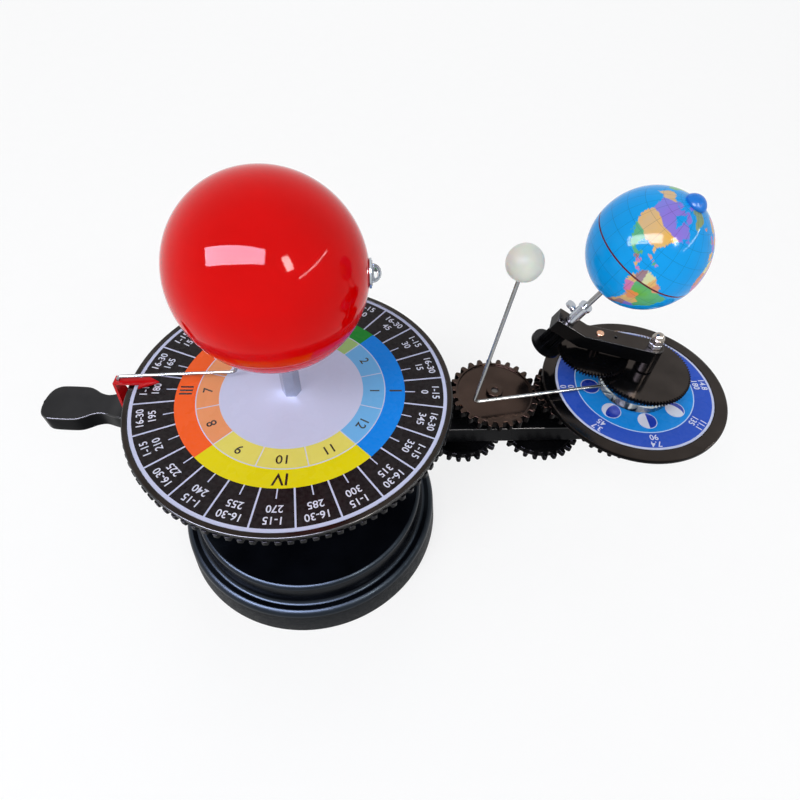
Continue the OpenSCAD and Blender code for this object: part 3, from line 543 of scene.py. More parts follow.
# %% Break the edges of the moulded parts
POLISHED = ("swing_arm", "dial_disc", "earth_bracket")
BOSS_TOP = 169.6
BROKEN = {
    "dial_disc": 0.35, "ring_gear": 0.3, "phase_disc": 0.6, "swing_arm": 0.6,
    "upper_gear_1": 0.4, "upper_gear_2": 0.4, "lower_gear_1": 0.4, "lower_gear_2": 0.4,
    "lower_gear_3": 0.4, "end_gear": 0.4, "fixed_gear": 0.4, "earth_bracket": 0.4,
    "pin_collars": 0.4, "hex_post": 0.3, "bracket_nut": 0.4, "cap_nut": 0.45, "spindle_nut": 0.4,
    "transfer_pin": 0.4, "earth_sleeve": 0.2, "lamp_holder": 0.3, "phase_pillars": 0.3,
}
for node, width in BROKEN.items():
    made = broken_edges(node, width, node in POLISHED)
    print(made.name, len(made.data.polygons))
for face in bpy.data.objects["earth_bracket_moulded"].data.polygons:
    if face.center.z < BOSS_TOP * MM and abs(face.normal.z) < 0.1:
        face.material_index = 1

# %% [markdown]
# ## The handle
# The handle has the outline of a flat bottle. Its half widths were measured along
# the photograph and a smooth curve is led through them. A grid takes that outline,
# is thickened and gets round edges. Its root is cut square to the arm's end, and
# its tongue is a second block on the arm.

# %% Shape the handle
HANDLE_TURN = 4.3
HANDLE_T = 11.5
ARM_END, ARM_TOP = 88.6, 126.5
DIP, DIP_START, DIP_RUN = 1.5, 104, 10
TONGUE = (41.7, 18, 3.5)
TONGUE_X = 74.85
HALF_WIDTHS = [
    (92.2, 17), (97, 14.9), (102.4, 12.3), (107.8, 10.7), (113.8, 8.4), (118.1, 7.5),
    (122.8, 8.7), (127, 11.2), (131.6, 13), (140, 13.3), (147.5, 13), (150.4, 12),
    (152.5, 10.4), (154, 7.9), (154.9, 4.6), (155.2, 1.5),
]


def smooth_run(points, steps):
    """More points on a smooth curve that goes through the given ones."""
    ends = [points[0]] + points + [points[-1]]
    run = []
    for a, b, c, d in zip(ends, ends[1:], ends[2:], ends[3:]):
        for t in (i / steps for i in range(steps)):
            run.append(tuple(
                q + 0.5 * t * (r - p + t * (2 * p - 5 * q + 4 * r - s
                                            + t * (3 * q - p - 3 * r + s)))
                for p, q, r, s in zip(a, b, c, d)))
    return run + [points[-1]]


lean = math.radians(HANDLE_TURN)
stations = smooth_run(HALF_WIDTHS, 4)
last = len(stations) - 1
fresh_start()
bpy.ops.mesh.primitive_grid_add(x_subdivisions=last, y_subdivisions=2, size=1)
handle = bpy.context.object
for point in handle.data.vertices:
    reach, half_width = stations[round((point.co.x + 0.5) * last)]
    ramp = min(max((reach - DIP_START) / DIP_RUN, 0), 1)
    top = ARM_TOP - DIP * ramp * ramp * (3 - 2 * ramp)
    across = 2 * half_width * point.co.y
    if reach == HALF_WIDTHS[0][0]:
        reach = (ARM_END - math.sin(lean) * across) / math.cos(lean)
    point.co = Vector((reach, across, top)) * MM
thicken(-HANDLE_T)
bpy.ops.mesh.primitive_cube_add(size=1)
tongue = bpy.context.object
tongue.scale = [v * MM for v in TONGUE]
tongue.location = (TONGUE_X * MM, 0, (ARM_TOP + TONGUE[2] / 2) * MM)
bpy.ops.object.transform_apply(location=True, rotation=True, scale=True)
settle(join_all("bottle_handle", [handle, tongue]), spun(180 - HANDLE_TURN))
dress(handle, "arm", handle_black, "turn_handle")
bevel_edges(handle, 0.8, 3, 40, True)
print("handle:", len(stations), "stations,", len(handle.data.polygons), "faces")

# %% [markdown]
# ## Printing in rings
# A round label is easiest to describe by its radius and its angle. These helpers
# work both out in the shader and give bands, radial lines and coloured sectors,
# so the print stays sharp at any distance and needs no picture.

# %% Ring print helpers


def polar(tree, centre_x):
    """Radius in millimetres and angle in whole turns about an upright axis."""
    place = add_node(tree, "ShaderNodeTexCoord").outputs["Object"]
    sockets = {"Vector": place, "Location": (-centre_x * MM, 0, 0)}
    moved = add_node(tree, "ShaderNodeMapping", sockets).outputs[0]
    x, y = add_node(tree, "ShaderNodeSeparateXYZ", {"Vector": moved}).outputs[:2]
    square = calc("ADD", calc("MULTIPLY", x, x), calc("MULTIPLY", y, y))
    radius = calc("MULTIPLY", calc("SQRT", square), 1 / MM)
    return radius, calc("DIVIDE", calc("ARCTAN2", y, x), 2 * math.pi)


def band(radius, low, high):
    """1 between two radii, otherwise 0."""
    over = calc("GREATER_THAN", radius, low)
    return calc("MULTIPLY", over, calc("LESS_THAN", radius, high))


def spokes(radius, angle, first, count, width):
    """1 on evenly spaced radial lines of an even width in millimetres."""
    cell = calc("MULTIPLY", calc("SUBTRACT", angle, first / 360), count)
    half = calc("SUBTRACT", calc("FRACT", calc("ADD", cell, 0.5)), 0.5)
    away = calc("MULTIPLY", calc("ABSOLUTE", half), 2 * math.pi / count)
    return calc("LESS_THAN", calc("MULTIPLY", away, radius), width / 2)


def sectors(angle, first, colours):
    """Equal coloured sectors, counted counter-clockwise from the first angle."""
    part = calc("FRACT", calc("SUBTRACT", angle, first / 360))
    ramp = add_node(angle.id_data, "ShaderNodeValToRGB", {"Fac": part})
    ramp.color_ramp.interpolation = "CONSTANT"
    stops = ramp.color_ramp.elements
    stops.remove(stops[1])
    stops[0].position, stops[0].color = 0, (*colours[0], 1)
    for i, colour in enumerate(colours[1:], 1):
        stops.new(i / len(colours)).color = (*colour, 1)
    return ramp.outputs[0]


def printed(name, paint):
    """A varnished print: the painter gives the colour, noise the scuffed varnish."""
    made, tree, shader = blank(name)
    worn = wander(noise_on(tree, 420, 5.0), 0.0, 0.025)
    feed(shader, {
        "Base Color": blend_colours(worn, paint(tree), (0.5, 0.5, 0.5, 1)),
        "Roughness": wander(noise_on(tree, 60, 5.0), 0.2, 0.34),
        "Specular IOR Level": 0.1,
    })
    return made


print("ring print helpers ready")

# %% [markdown]
# ## The dial's label
# From the inside out: a white middle, a ring of twelve months, a ring of four
# seasons, a black ring of twenty-four half months and a white border. The angles
# of the dividing lines were measured on the photograph. A thin collar closes the
# label round the foot of the post.

# %% Print the dial
LABEL_FLOOR, LABEL_EDGE, LABEL_TOP = 144.7, 145.15, 145.2
COLLAR_FLOOR, COLLAR_TOP, COLLAR_IN = 145.205, 145.23, 4.9
DIAL_HOLE, DIAL_R = 6.12, 92.1
MONTHS, SEASONS, HALF_MONTHS, TICKS = (42, 55), (55, 67), (67, 90), (67, 73)
SEASON_START, HALF_MONTH_START = -46.2, -84.4
YELLOW, BLUE = srgb(228, 217, 8), srgb(3, 134, 236)
GREEN, ORANGE = srgb(16, 138, 40), srgb(246, 98, 36)
TINTS = [srgb(112, 182, 236), srgb(160, 196, 120), srgb(232, 154, 104), srgb(226, 219, 104)]
LABEL_WHITE = (*srgb(200, 207, 236), 1)


def paint_dial(tree):
    """The rings of the dial, then the white lines over them."""
    radius, angle = polar(tree, 0)
    months, half_months = band(radius, *MONTHS), band(radius, *HALF_MONTHS)
    colour = blend_colours(months, LABEL_WHITE, sectors(angle, SEASON_START, TINTS))
    seasons = sectors(angle, SEASON_START, [BLUE, GREEN, ORANGE, YELLOW])
    colour = blend_colours(band(radius, *SEASONS), colour, seasons)
    colour = blend_colours(half_months, colour, (*srgb(22, 16, 18), 1))
    lines = [
        calc("MULTIPLY", months, spokes(radius, angle, SEASON_START, 12, 0.6)),
        band(radius, SEASONS[0] - 0.3, SEASONS[0] + 0.3),
        calc("MULTIPLY", half_months,
             spokes(radius, angle, HALF_MONTH_START, 24, 1.0)),
        calc("MULTIPLY", band(radius, *TICKS),
             spokes(radius, angle, HALF_MONTH_START + 7.5, 24, 0.7)),
    ]
    for line in lines:
        colour = blend_colours(line, colour, LABEL_WHITE)
    return colour


dial_label = lathe("dial_print", [
    (DIAL_HOLE, LABEL_FLOOR), (DIAL_R, LABEL_FLOOR), (DIAL_R, LABEL_EDGE),
    (DIAL_R - 0.05, LABEL_TOP), (6.3, LABEL_TOP), (6.2, COLLAR_TOP), (COLLAR_IN, COLLAR_TOP),
    (COLLAR_IN, COLLAR_FLOOR), (DIAL_HOLE, COLLAR_FLOOR), (DIAL_HOLE, LABEL_FLOOR)], steps=192)
dress(dial_label, "base", printed("dial_ink", paint_dial), "dial_label")
print("dial label, radius", round(dial_label.dimensions.x / 2 / MM, 1), "mm")

# %% [markdown]
# ## Numbers on the dial
# The words of the original are left out, and plain numbers stand in their places:
# the days of each half month with the Sun's longitude below, the months from 1 to
# 12 and the seasons in Roman numerals. All of them have their feet to the middle.

# %% Set the numbers


def on_ring(centre_x, radius, angle, level):
    """A place on a ring about an upright axis, with its foot to the middle."""
    a = math.radians(angle)
    x, y = centre_x + radius * math.cos(a), radius * math.sin(a)
    return at(x, y, level) @ spun(angle - 90)


def numbers(name, rows, centre_x, body, finish_used):
    """Join short texts into one piece. A row is text, radius, angle and size."""
    items = []
    for text, radius, angle, size in rows:
        fresh_start()
        bpy.ops.object.text_add()
        item = bpy.context.object
        item.data.body = text
        item.data.size = size * MM
        item.data.align_x, item.data.align_y = "CENTER", "CENTER"
        item.data.resolution_u = 3
        item.data.offset = 0.012 * size * MM
        item.data.extrude = 0.015 * MM
        bpy.ops.object.convert(target="MESH")
        items.append(settle(item, on_ring(centre_x, radius, angle, LABEL_TOP)))
    piece = dress(join_all(name, items), body, finish_used)


FIRST_LONGITUDE = 285
half_months = []
for k in range(24):
    middle = HALF_MONTH_START + 7.5 + 15 * k
    half_months.append(("1-15" if k % 2 else "16-30", 85.2, middle, 6.0))
    half_months.append((str((FIRST_LONGITUDE + 15 * k) % 360), 78.6, middle, 6.0))
months = [(str((k + 11) % 12 + 1), 48.6, SEASON_START + 15 + 30 * k, 8.0) for k in range(12)]
seasons = [(text, 61, SEASON_START + 45 + 90 * k, 10.5)
           for k, text in enumerate(("I", "II", "III", "IV"))]
numbers("half_month_numbers", half_months, 0, "base", print_white)
numbers("month_numbers", months + seasons, 0, "base", print_black)
print("numbers set:", len(half_months), len(months), len(seasons))

# %% [markdown]
# ## The phase label
# Around the Earth's axis lie a light blue ring for the Moon's phases, a dark blue
# one for their numbers and a white border.

# %% Print the phase label
EARTH_X = 208
PHASE_HOLE, PHASE_R = 6, 48
PALE_OUT, BORDER_IN = 35.9, 46.6


def paint_phases(tree):
    """Two blue rings, the line between them and the border."""
    radius, _ = polar(tree, EARTH_X)
    colour = blend_colours(calc("GREATER_THAN", radius, PALE_OUT),
                           (*srgb(21, 140, 228), 1), (*srgb(44, 84, 192), 1))
    line = band(radius, PALE_OUT - 0.3, PALE_OUT + 0.3)
    colour = blend_colours(line, colour, (*srgb(190, 215, 250), 1))
    return blend_colours(calc("GREATER_THAN", radius, BORDER_IN), colour, LABEL_WHITE)


phase_label = lathe("phase_print", [
    (PHASE_HOLE, LABEL_FLOOR), (PHASE_R, LABEL_FLOOR), (PHASE_R, LABEL_EDGE),
    (PHASE_R - 0.05, LABEL_TOP), (PHASE_HOLE, LABEL_TOP), (PHASE_HOLE, LABEL_FLOOR)])
settle(phase_label, at(EARTH_X, 0, 0))
dress(phase_label, "arm", printed("phase_ink", paint_phases), "phase_label")
print("phase label, radius", PHASE_R, "mm")

# %% [markdown]
# ## The Moon's phases
# The eight phases stand 45 degrees apart, with the new Moon toward the Sun. Each is
# a white rim, a dark disc and a lit part. A lit part starts as a circle, and one
# half of it is drawn in or turned over to make the line between light and dark.

# %% Print the phases
PHASE_RING, RIM_R, DISC_R = 27.4, 5.7, 5.3
RIM_Z, DARK_Z, LIT_Z = 145.21, 145.24, 145.27
CUTS = [None, -0.45, 0.02, 0.45, 1, 0.45, 0.02, -0.45]
AGES = ("0", "3.7", "7.4", "11.1", "14.8", "18.5", "22.1", "25.8")


def phase_shape(radius, narrow, angle, level, turned=0):
    """A thin disc whose left half is scaled across; a minus turns it over."""
    fresh_start()
    bpy.ops.mesh.primitive_circle_add(vertices=48, radius=radius * MM, fill_type="NGON")
    item = bpy.context.object
    bpy.ops.object.mode_set(mode="EDIT")
    bpy.ops.mesh.select_all(action="DESELECT")
    bpy.ops.object.mode_set(mode="OBJECT")
    for point in item.data.vertices:
        point.select = point.co.x < -1e-7
    bpy.ops.object.mode_set(mode="EDIT")
    bpy.ops.transform.resize(value=(narrow, 1, 1), center_override=(0, 0, 0))
    thicken(0.02)
    place = on_ring(EARTH_X, PHASE_RING, angle, level)
    return settle(item, place @ spun(turned))


rims, darks, lits = [], [], []
angles = [-180 + 45 * k for k in range(8)]
for k, angle in enumerate(angles):
    rims.append(phase_shape(RIM_R, 1, angle, RIM_Z))
    darks.append(phase_shape(DISC_R, 1, angle, DARK_Z))
    if k:
        lits.append(phase_shape(DISC_R, CUTS[k], angle, LIT_Z, 180 if k > 4 else 0))
for name, items, ink in (("phase_rims", rims, print_white), ("phase_darks", darks, print_navy),
                         ("phase_lits", lits, print_white)):
    piece = dress(join_all(name, items), "arm", ink)
phase_rows = [(age, 43.9, angle, 5.2) for age, angle in zip(AGES, angles)]
phase_rows += [(str(angle + 180), 39.1, angle, 5.2) for angle in angles]
numbers("phase_numbers", phase_rows, EARTH_X, "arm", print_white)
print("phases:", len(darks), "discs,", len(lits), "lit parts")

# %% [markdown]
# ## The Sun
# The Sun is a glossy red ball in two mouldings that meet below its middle. The
# joint shows as a fine dark line, so both edges of the seam are cut back a little.
# One round hole on the Earth's side takes the lamp, and one below takes the wire.

# %% Turn the Sun's two shells
SUN_Z, SUN_R = 230.6, 47.7
SKIN = SUN_R - 2.2
SEAM_Z = -20
seam = math.degrees(math.asin(SEAM_Z / SUN_R))
seam_in = math.degrees(math.asin(SEAM_Z / SKIN))
lip = [(SUN_R * math.cos(math.radians(seam)) - 0.5, SEAM_Z)]
LAMP_HOLE, WIRE_HOLE = 6.0, 1.3


def drill(piece, place, radius, depth):
    """Cut a round hole with a cylinder that is thrown away afterwards."""
    fresh_start()
    bpy.ops.mesh.primitive_cylinder_add(vertices=64, radius=radius * MM, depth=depth * MM)
    bit = settle(bpy.context.object, place)
    take(piece)
    cut = piece.modifiers.new("hole", "BOOLEAN")
    cut.operation, cut.object = "DIFFERENCE", bit
    bpy.ops.object.modifier_apply(modifier=cut.name)
    bpy.data.objects.remove(bit)
    bpy.ops.object.shade_smooth_by_angle(angle=math.radians(35))


upper = lip + arc(0, 0, SUN_R, seam + 0.6, 89.99, 72) + arc(0, 0, SKIN, 89.99, seam_in, 24)
lower = lip + arc(0, 0, SUN_R, seam - 0.6, -82.7, 36) + arc(0, 0, SKIN, -82.4, seam_in, 16)
sun_upper = lathe("sun_upper", [(r, z + SUN_Z) for r, z in upper + lip], steps=192)
sun_lower = lathe("sun_lower", [(r, z + SUN_Z) for r, z in lower + lip], steps=192)
drill(sun_upper, at(45, 0, SUN_Z) @ spun(90, "Y"), LAMP_HOLE, 20)
drill(sun_lower, at(-0.68 * SUN_R, 0.216 * SUN_R, SUN_Z - 30), WIRE_HOLE, 30)
dress(sun_upper, "sun", sun_red, "sun_upper_shell")
dress(sun_lower, "sun", sun_red, "sun_lower_shell")
print("Sun:", len(sun_upper.data.polygons) + len(sun_lower.data.polygons), "faces")

# %% [markdown]
# ## The lamp
# A small bulb looks out of the Sun toward the Earth. Its glass has a domed end; it
# is turned on the upright axis and then laid along the arm.

# %% Turn the lamp
bulb = lathe("lamp_glass", [(0, 36), (4.6, 36)] + arc(0, 48.7, 4.6, 0, 90, 14), steps=64)
settle(bulb, at(0, 0, SUN_Z) @ spun(90, "Y"))
dress(bulb, "sun", lamp_glass, "lamp_bulb")
print("lamp:", len(bulb.data.polygons), "faces")

# %% [markdown]
# ## The Moon
# The Moon is a milky ball pushed on to the end of its wire, with a small flat where
# the wire goes in. It is turned upright and then leaned along the wire.

# %% Turn the Moon
MOON_R = 8.8
MOON_WAY = Vector((math.cos(math.radians(188)), math.sin(math.radians(188)), 0))
WIRE_BEND = Vector((EARTH_X, 0, 149)) + 102.5 * MOON_WAY
MOON_MIDDLE = Vector((EARTH_X, 0, 246)) + 91.2 * MOON_WAY
moon = lathe("moon", [(1.05, -8.4), (1.5, -8.66)] + arc(0, 0, MOON_R, -80, 90, 48)
             + [(0, 7), (1.05, -3.5), (1.05, -8.4)], steps=96)
lean = (MOON_MIDDLE - WIRE_BEND).to_track_quat("Z", "Y").to_matrix().to_4x4()
settle(moon, at(*MOON_MIDDLE) @ lean)
dress(moon, "moon", moon_white, "moon_ball")
print("Moon at", [round(v, 1) for v in MOON_MIDDLE])

# %% [markdown]
# ## The map of the world
# The globe's print is a plain political map without names. A coastline is a list of
# longitudes and latitudes, drawn from general knowledge. Seeds of a colour
# are dropped on each land, and every point takes the colour of the nearest one,
# which makes borders of the right kind.

# %% Draw the lands
PURPLE, GOLD, LEAF = srgb(150, 112, 214), srgb(244, 186, 60), srgb(104, 182, 72)
ROSE, EARTHEN, OLIVE = srgb(222, 112, 160), srgb(176, 112, 80), srgb(150, 158, 70)
AMBER, CREAM = srgb(238, 146, 70), srgb(240, 226, 130)
LANDS = [
    ("""-168 65, -162 60, -158 58, -162 55, -153 58, -148 60, -140 60, -134 57, -130 54, -124 49,
     -124 43, -122 37, -117 33, -112 25, -110 23, -112 28, -114 31, -109 26, -105 20, -100 17,
     -94 16, -91 14, -87 13, -86 10, -83 8, -80 7, -78 8, -80 9, -82 9, -84 11, -83 15, -88 16,
     -87 21, -90 21, -91 19, -95 18, -97 22, -97 28, -94 29, -89 29, -84 30, -83 28, -81 25,
     -80 26, -81 31, -76 35, -74 40, -70 42, -70 44, -66 45, -61 46, -65 49, -60 50, -56 52,
     -58 55, -62 58, -65 60, -70 61, -77 62, -77 58, -79 54, -80 51, -82 53, -83 55, -88 57,
     -93 59, -94 61, -90 64, -87 66, -82 67, -82 70, -90 69, -94 72, -97 68, -108 68, -115 69,
     -125 70, -135 69, -141 70, -156 71, -166 68""",
     [(-105, 60, PURPLE), (-125, 57, PURPLE), (-85, 52, PURPLE), (-75, 51, PURPLE),
      (-95, 66, PURPLE), (-65, 55, PURPLE), (-152, 65, GOLD), (-110, 39, GOLD), (-95, 38, GOLD),
      (-85, 41, GOLD), (-76, 40, GOLD), (-120, 41, GOLD), (-82, 32, GOLD), (-102, 22, LEAF),
      (-110, 25, LEAF), (-92, 18, LEAF), (-90, 14, EARTHEN), (-86, 14, ROSE), (-84, 10, GOLD),
      (-80, 8, ROSE)]),
    ("-80 73, -68 70, -62 66, -66 62, -75 64, -79 69, -88 71", [(-70, 68, PURPLE)]),
    ("-125 72, -115 74, -104 73, -102 69, -115 69, -122 71", [(-110, 71, PURPLE)]),
    ("-92 77, -78 76, -62 82, -75 83, -92 81", [(-80, 80, PURPLE)]),
    ("-59 48, -53 47, -54 49, -56 51", [(-56, 49, PURPLE)]),
    ("-84 22, -80 23, -74 20, -78 20, -82 22", [(-80, 21, AMBER)]),
    ("-74 20, -69 20, -68 18, -74 18", [(-72, 19, LEAF), (-70, 19, ROSE)]),
    ("""-73 78, -60 82, -35 83, -20 80, -20 74, -25 70, -33 67, -40 65, -43 60, -50 62, -53 66,
     -51 70, -56 74, -68 76""", [(-40, 72, OLIVE)]),
    ("""-77 8, -75 11, -72 12, -67 11, -62 11, -58 7, -54 6, -51 4, -50 0, -47 -1, -44 -3, -39 -3,
     -35 -5, -35 -9, -38 -12, -39 -18, -41 -22, -45 -23, -48 -26, -50 -30, -54 -34, -57 -35,
     -57 -38, -62 -39, -65 -42, -66 -45, -67 -47, -69 -51, -68 -54, -73 -53, -75 -49, -74 -43,
     -73 -37, -71 -31, -70 -24, -70 -18, -75 -15, -79 -9, -81 -5, -80 -2, -80 1, -78 3, -77 6""",
     [(-74, 5, EARTHEN), (-66, 7, CREAM), (-59, 5, GOLD), (-55, 4, AMBER), (-79, -1, GOLD),
      (-76, -9, ROSE), (-67, -6, LEAF), (-60, -4, LEAF), (-50, -9, LEAF), (-43, -8, LEAF),
      (-55, -15, LEAF), (-50, -24, LEAF), (-65, -17, AMBER), (-59, -23, GOLD), (-72, -35, GOLD),
      (-70, -25, GOLD), (-65, -35, EARTHEN), (-68, -46, EARTHEN), (-56, -33, PURPLE)]),
    ("""-6 35, 0 36, 10 37, 11 33, 20 31, 22 33, 29 31, 33 31, 35 27, 37 21, 39 15, 43 12, 51 12,
     48 5, 42 -2, 39 -6, 40 -14, 35 -20, 35 -24, 32 -28, 27 -34, 20 -35, 18 -32, 15 -26,
     12 -17, 13 -9, 9 -1, 9 4, 5 5, -2 5, -8 4, -13 8, -17 13, -17 21, -13 27, -9 31""",
     [(-6, 32, CREAM), (3, 28, ROSE), (17, 27, LEAF), (29, 27, AMBER), (-11, 20, AMBER),
      (-3, 17, PURPLE), (9, 17, CREAM), (19, 15, EARTHEN), (30, 15, LEAF), (40, 8, PURPLE),
      (46, 6, GOLD), (8, 9, LEAF), (-8, 9, ROSE), (13, 5, PURPLE), (21, 6, CREAM),
      (23, -3, ROSE), (38, 0, AMBER), (35, -6, LEAF), (18, -12, GOLD), (27, -14, AMBER),
      (37, -16, PURPLE), (17, -22, LEAF), (24, -22, PURPLE), (23, -31, AMBER), (30, -19, ROSE)]),
    ("44 -17, 49 -12, 50 -16, 47 -25, 44 -23", [(47, -19, GOLD)]),
    ("""-9 37, -9 43, -1 43, -4 48, 2 51, 8 54, 8 57, 11 57, 11 54, 19 54, 24 58, 28 60, 22 60,
     21 63, 25 65, 22 66, 17 61, 18 59, 14 55, 11 59, 5 59, 5 62, 13 67, 20 70, 28 71, 41 67,
     38 64, 44 66, 46 68, 60 69, 68 68, 68 72, 80 73, 104 77, 113 74, 128 72, 140 72, 160 70,
     180 69, 180 65, 178 62, 165 60, 162 57, 157 51, 156 57, 163 61, 157 61, 143 59, 135 55,
     141 53, 140 48, 132 43, 127 40, 129 36, 126 34, 125 39, 118 39, 122 37, 119 35, 122 31,
     119 25, 113 22, 108 21, 106 19, 109 12, 105 9, 100 13, 99 9, 103 1, 101 3, 98 8, 97 16,
     94 16, 91 22, 87 21, 80 15, 80 10, 77 8, 73 18, 72 21, 67 25, 57 26, 51 28, 48 30, 51 25,
     56 26, 59 22, 55 17, 45 13, 43 16, 39 21, 35 28, 34 31, 36 36, 27 37, 26 40, 29 41, 41 41,
     38 45, 39 47, 33 46, 30 46, 28 43, 28 41, 23 40, 23 37, 21 37, 19 42, 14 45, 12 45, 14 43,
     18 40, 16 38, 16 40, 10 43, 9 44, 4 43, 0 39, -2 37, -5 36""",
     [(40, 57, LEAF), (60, 61, LEAF), (90, 63, LEAF), (120, 62, LEAF), (150, 65, LEAF),
      (172, 66, LEAF), (16, 64, GOLD), (26, 63, ROSE), (-4, 40, GOLD), (2, 47, PURPLE),
      (10, 51, AMBER), (13, 43, LEAF), (20, 52, ROSE), (31, 49, CREAM), (22, 43, AMBER),
      (34, 39, PURPLE), (67, 48, CREAM), (54, 33, ROSE), (45, 24, GOLD), (44, 33, LEAF),
      (67, 31, OLIVE), (78, 22, AMBER), (80, 14, AMBER), (105, 35, GOLD), (115, 30, GOLD),
      (88, 36, GOLD), (123, 46, GOLD), (104, 47, AMBER), (97, 21, PURPLE), (101, 15, LEAF),
      (106, 15, ROSE), (128, 37, AMBER)]),
    ("-5 50, 1 51, -1 55, -3 58, -6 57, -4 54", [(-2, 54, ROSE)]),
    ("-10 52, -6 52, -6 55, -9 54", [(-8, 53, LEAF)]),
    ("-24 65, -16 66, -14 65, -19 63, -22 64", [(-19, 65, AMBER)]),
    ("130 31, 135 34, 140 35, 142 40, 145 43, 141 45, 140 42, 139 38, 133 35", [(138, 37, ROSE)]),
    ("95 5, 104 -2, 106 -6, 100 -1", [(101, 0, AMBER)]),
    ("109 1, 117 7, 118 1, 115 -4, 110 -2", [(114, 0, AMBER), (114, 4, PURPLE)]),
    ("105 -6, 114 -7, 114 -9, 106 -8", [(110, -7, AMBER)]),
    ("119 -5, 120 1, 125 1, 121 -1, 122 -5", [(121, -2, AMBER)]),
    ("120 18, 122 18, 124 13, 126 7, 122 7, 120 14", [(122, 13, LEAF)]),
    ("131 -1, 141 -3, 147 -6, 150 -10, 143 -8, 138 -8, 133 -4",
     [(136, -4, AMBER), (146, -7, LEAF)]),
    ("""114 -22, 122 -18, 126 -14, 131 -12, 136 -12, 135 -15, 140 -17, 142 -11, 146 -19, 150 -22,
     153 -28, 150 -37, 146 -39, 140 -38, 136 -35, 131 -31, 124 -33, 118 -35, 115 -34""",
     [(134, -25, ROSE)]),
    ("173 -34, 178 -38, 175 -41, 173 -39", [(176, -38, LEAF)]),
    ("172 -41, 174 -42, 171 -44, 168 -46, 166 -46", [(170, -44, LEAF)]),
]
print("lands:", len(LANDS))

# %% [markdown]
# A point is on land if a line from it crosses the coast an odd number of times. A
# slow ripple shifts every place a little first, so that coasts look natural.

# %% Colour a globe
OCEAN, ICE = (*srgb(6, 156, 234), 1), (*srgb(236, 240, 244), 1)


def inside(coast, lon, lat):
    """Even-odd test of many points against one coastline."""
    coast = [[int(v) for v in pair.split()] for pair in coast.split(",")]
    hit = np.zeros(lon.shape, bool)
    for (x1, y1), (x2, y2) in zip(coast, coast[1:] + coast[:1]):
        if y1 == y2:
            continue
        crosses = (y1 > lat) != (y2 > lat)
        hit ^= crosses & (lon < (x2 - x1) * (lat - y1) / (y2 - y1) + x1)
    return hit


def map_colours(lon, lat):
    """Colours of the map at longitudes and latitudes in degrees."""
    ripple = 0.6 * np.sin(lon * 1.9 + 3 * np.sin(lat * 0.7)) + 0.5 * np.sin(lat * 2.3 + lon * 0.6)
    colours = np.empty((len(lon), 4))
    colours[:] = OCEAN
    colours[lat < -72 + 3 * np.sin(np.radians(lon * 3))] = ICE
    for coast, seeds in LANDS:
        land = np.nonzero(inside(coast, lon + ripple, lat + 0.7 * np.roll(ripple, 7)))[0]
        spots = np.array([(x, y) for x, y, _ in seeds], float)
        inks = np.array([(*ink, 1) for _, _, ink in seeds])
        narrow = np.cos(np.radians(lat[land]))[:, None]
        east = (lon[land][:, None] - spots[:, 0]) * narrow
        north = lat[land][:, None] - spots[:, 1]
        colours[land] = inks[np.argmin(east ** 2 + north ** 2, axis=1)]
    return colours


print("map colours ready")

# %% [markdown]
# ## The Earth
# The globe is a hollow ball in two halves that meet at the equator, on a rod that
# leans by 23.5 degrees and starts at the bracket's end.

# %% Place of the Earth
GLOBE_R, GLOBE_UP = 29.5, 59.5
BRACKET_WAY, GLOBE_SPIN, TILT = 160, 154, 23.5
ROD_FOOT = (48.845, 0, 183.698)
on_axis = at(EARTH_X, 0, 0) @ spun(BRACKET_WAY) @ at(*ROD_FOOT) @ spun(-TILT, "Y")
globe_middle = on_axis @ at(0, 0, GLOBE_UP)
globe_place = globe_middle @ spun(GLOBE_SPIN)
print("globe centre", [round(v / MM, 1) for v in globe_place.translation])

# %% [markdown]
# The map is a colour on every point of the mesh. The net of meridians and the red
# equator are worked out in the shader and laid over it.

# %% Print for the globe


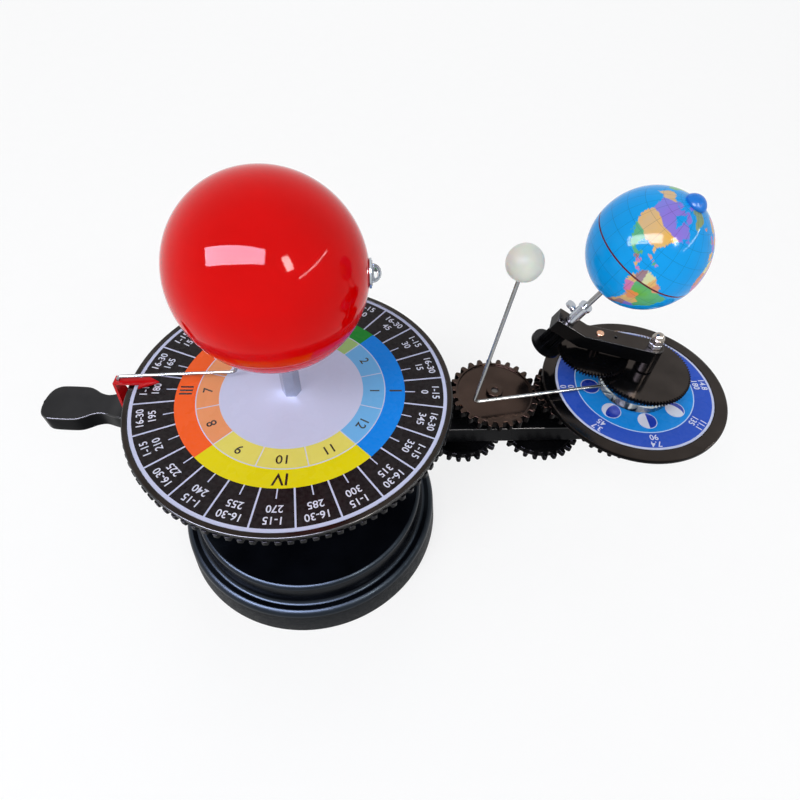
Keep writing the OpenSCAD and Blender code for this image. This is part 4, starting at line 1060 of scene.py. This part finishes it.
def globe_ink():
    """The printed globe: map, faded patches, net and equator under a varnish."""
    made, tree, shader = blank("globe_ink")
    place = add_node(tree, "ShaderNodeTexCoord").outputs["Object"]
    sockets = {"Vector": place, "Location": globe_place.translation,
               "Rotation": globe_place.to_euler()}
    local = add_node(tree, "ShaderNodeMapping", sockets, vector_type="TEXTURE").outputs[0]
    x, y, z = add_node(tree, "ShaderNodeSeparateXYZ", {"Vector": local}).outputs
    height = calc("DIVIDE", z, GLOBE_R * MM)
    latitude = calc("ARCSINE", height)
    turn = calc("DIVIDE", calc("ARCTAN2", y, x), 2 * math.pi)
    climb = calc("DIVIDE", latitude, 2 * math.pi)
    girth = calc("MULTIPLY", calc("COSINE", latitude), GLOBE_R)
    net = calc("MAXIMUM", spokes(girth, turn, 0, 24, 0.16),
               spokes(GLOBE_R, climb, 0, 24, 0.16))
    land = add_node(tree, "ShaderNodeAttribute", attribute_name="map").outputs["Color"]
    cloud = wander(noise_on(tree, 70, 4.0), 0.0, 0.26)
    colour = blend_colours(cloud, land, (*srgb(40, 176, 246), 1))
    faint = calc("MULTIPLY", net, 0.45)
    colour = blend_colours(faint, colour, (*srgb(10, 40, 90), 1))
    equator = calc("LESS_THAN", calc("ABSOLUTE", z), 0.42 * MM)
    feed(shader, {
        "Base Color": blend_colours(equator, colour, (*srgb(96, 36, 52), 1)),
        "Roughness": wander(noise_on(tree, 90, 3.0), 0.06, 0.13),
        "Specular IOR Level": 0.1,
    })
    return made


globe_print = globe_ink()
print("globe print ready")

# %% [markdown]
# Each half is turned upright, gets its share of the map from the longitude and the
# latitude of its points, and is then set on the rod.

# %% Turn the halves of the globe
half = ([(GLOBE_R - 0.3, 0)] + arc(0, 0, GLOBE_R, 0.1, 87, 110)
        + arc(0, 0, GLOBE_R - 2, 87, 0, 14))
for name, node, sign in (("globe_north_half", "globe_north", 1),
                         ("globe_south_half", "globe_south", -1)):
    piece = lathe(name, [(r, sign * z) for r, z in half + half[:1]], steps=384)
    points = np.empty(len(piece.data.vertices) * 3, np.float32)
    piece.data.vertices.foreach_get("co", points)
    x, y, z = points.reshape(-1, 3).T
    lon, lat = np.degrees(np.arctan2(y, x)), np.degrees(np.arctan2(z, np.hypot(x, y)))
    ink = piece.data.color_attributes.new("map", "FLOAT_COLOR", "POINT")
    ink.data.foreach_set("color", map_colours(lon, lat).astype(np.float32).ravel())
    settle(piece, globe_place)
    dress(piece, "earth", globe_print, node)
    print(name, len(piece.data.polygons), "faces")

# %% [markdown]
# ## The knob at the pole
# A glossy blue cap holds the globe on its rod, and a hand sets the hour with it. It
# is a low dome with a rounded skirt.

# %% Turn the knob
knob = lathe("pole_knob_turned", [(1.5, 29.2), (5.0, 29.05), (5.35, 29.3), (5.4, 30.2)]
             + arc(0, 27.1, 6.3, 30, 89.9, 20) + [(0, 31), (1.5, 30.4), (1.5, 29.2)], steps=96)
settle(knob, globe_middle)
dress(knob, "earth", knob_blue, "pole_knob")
print("knob:", len(knob.data.polygons), "faces")
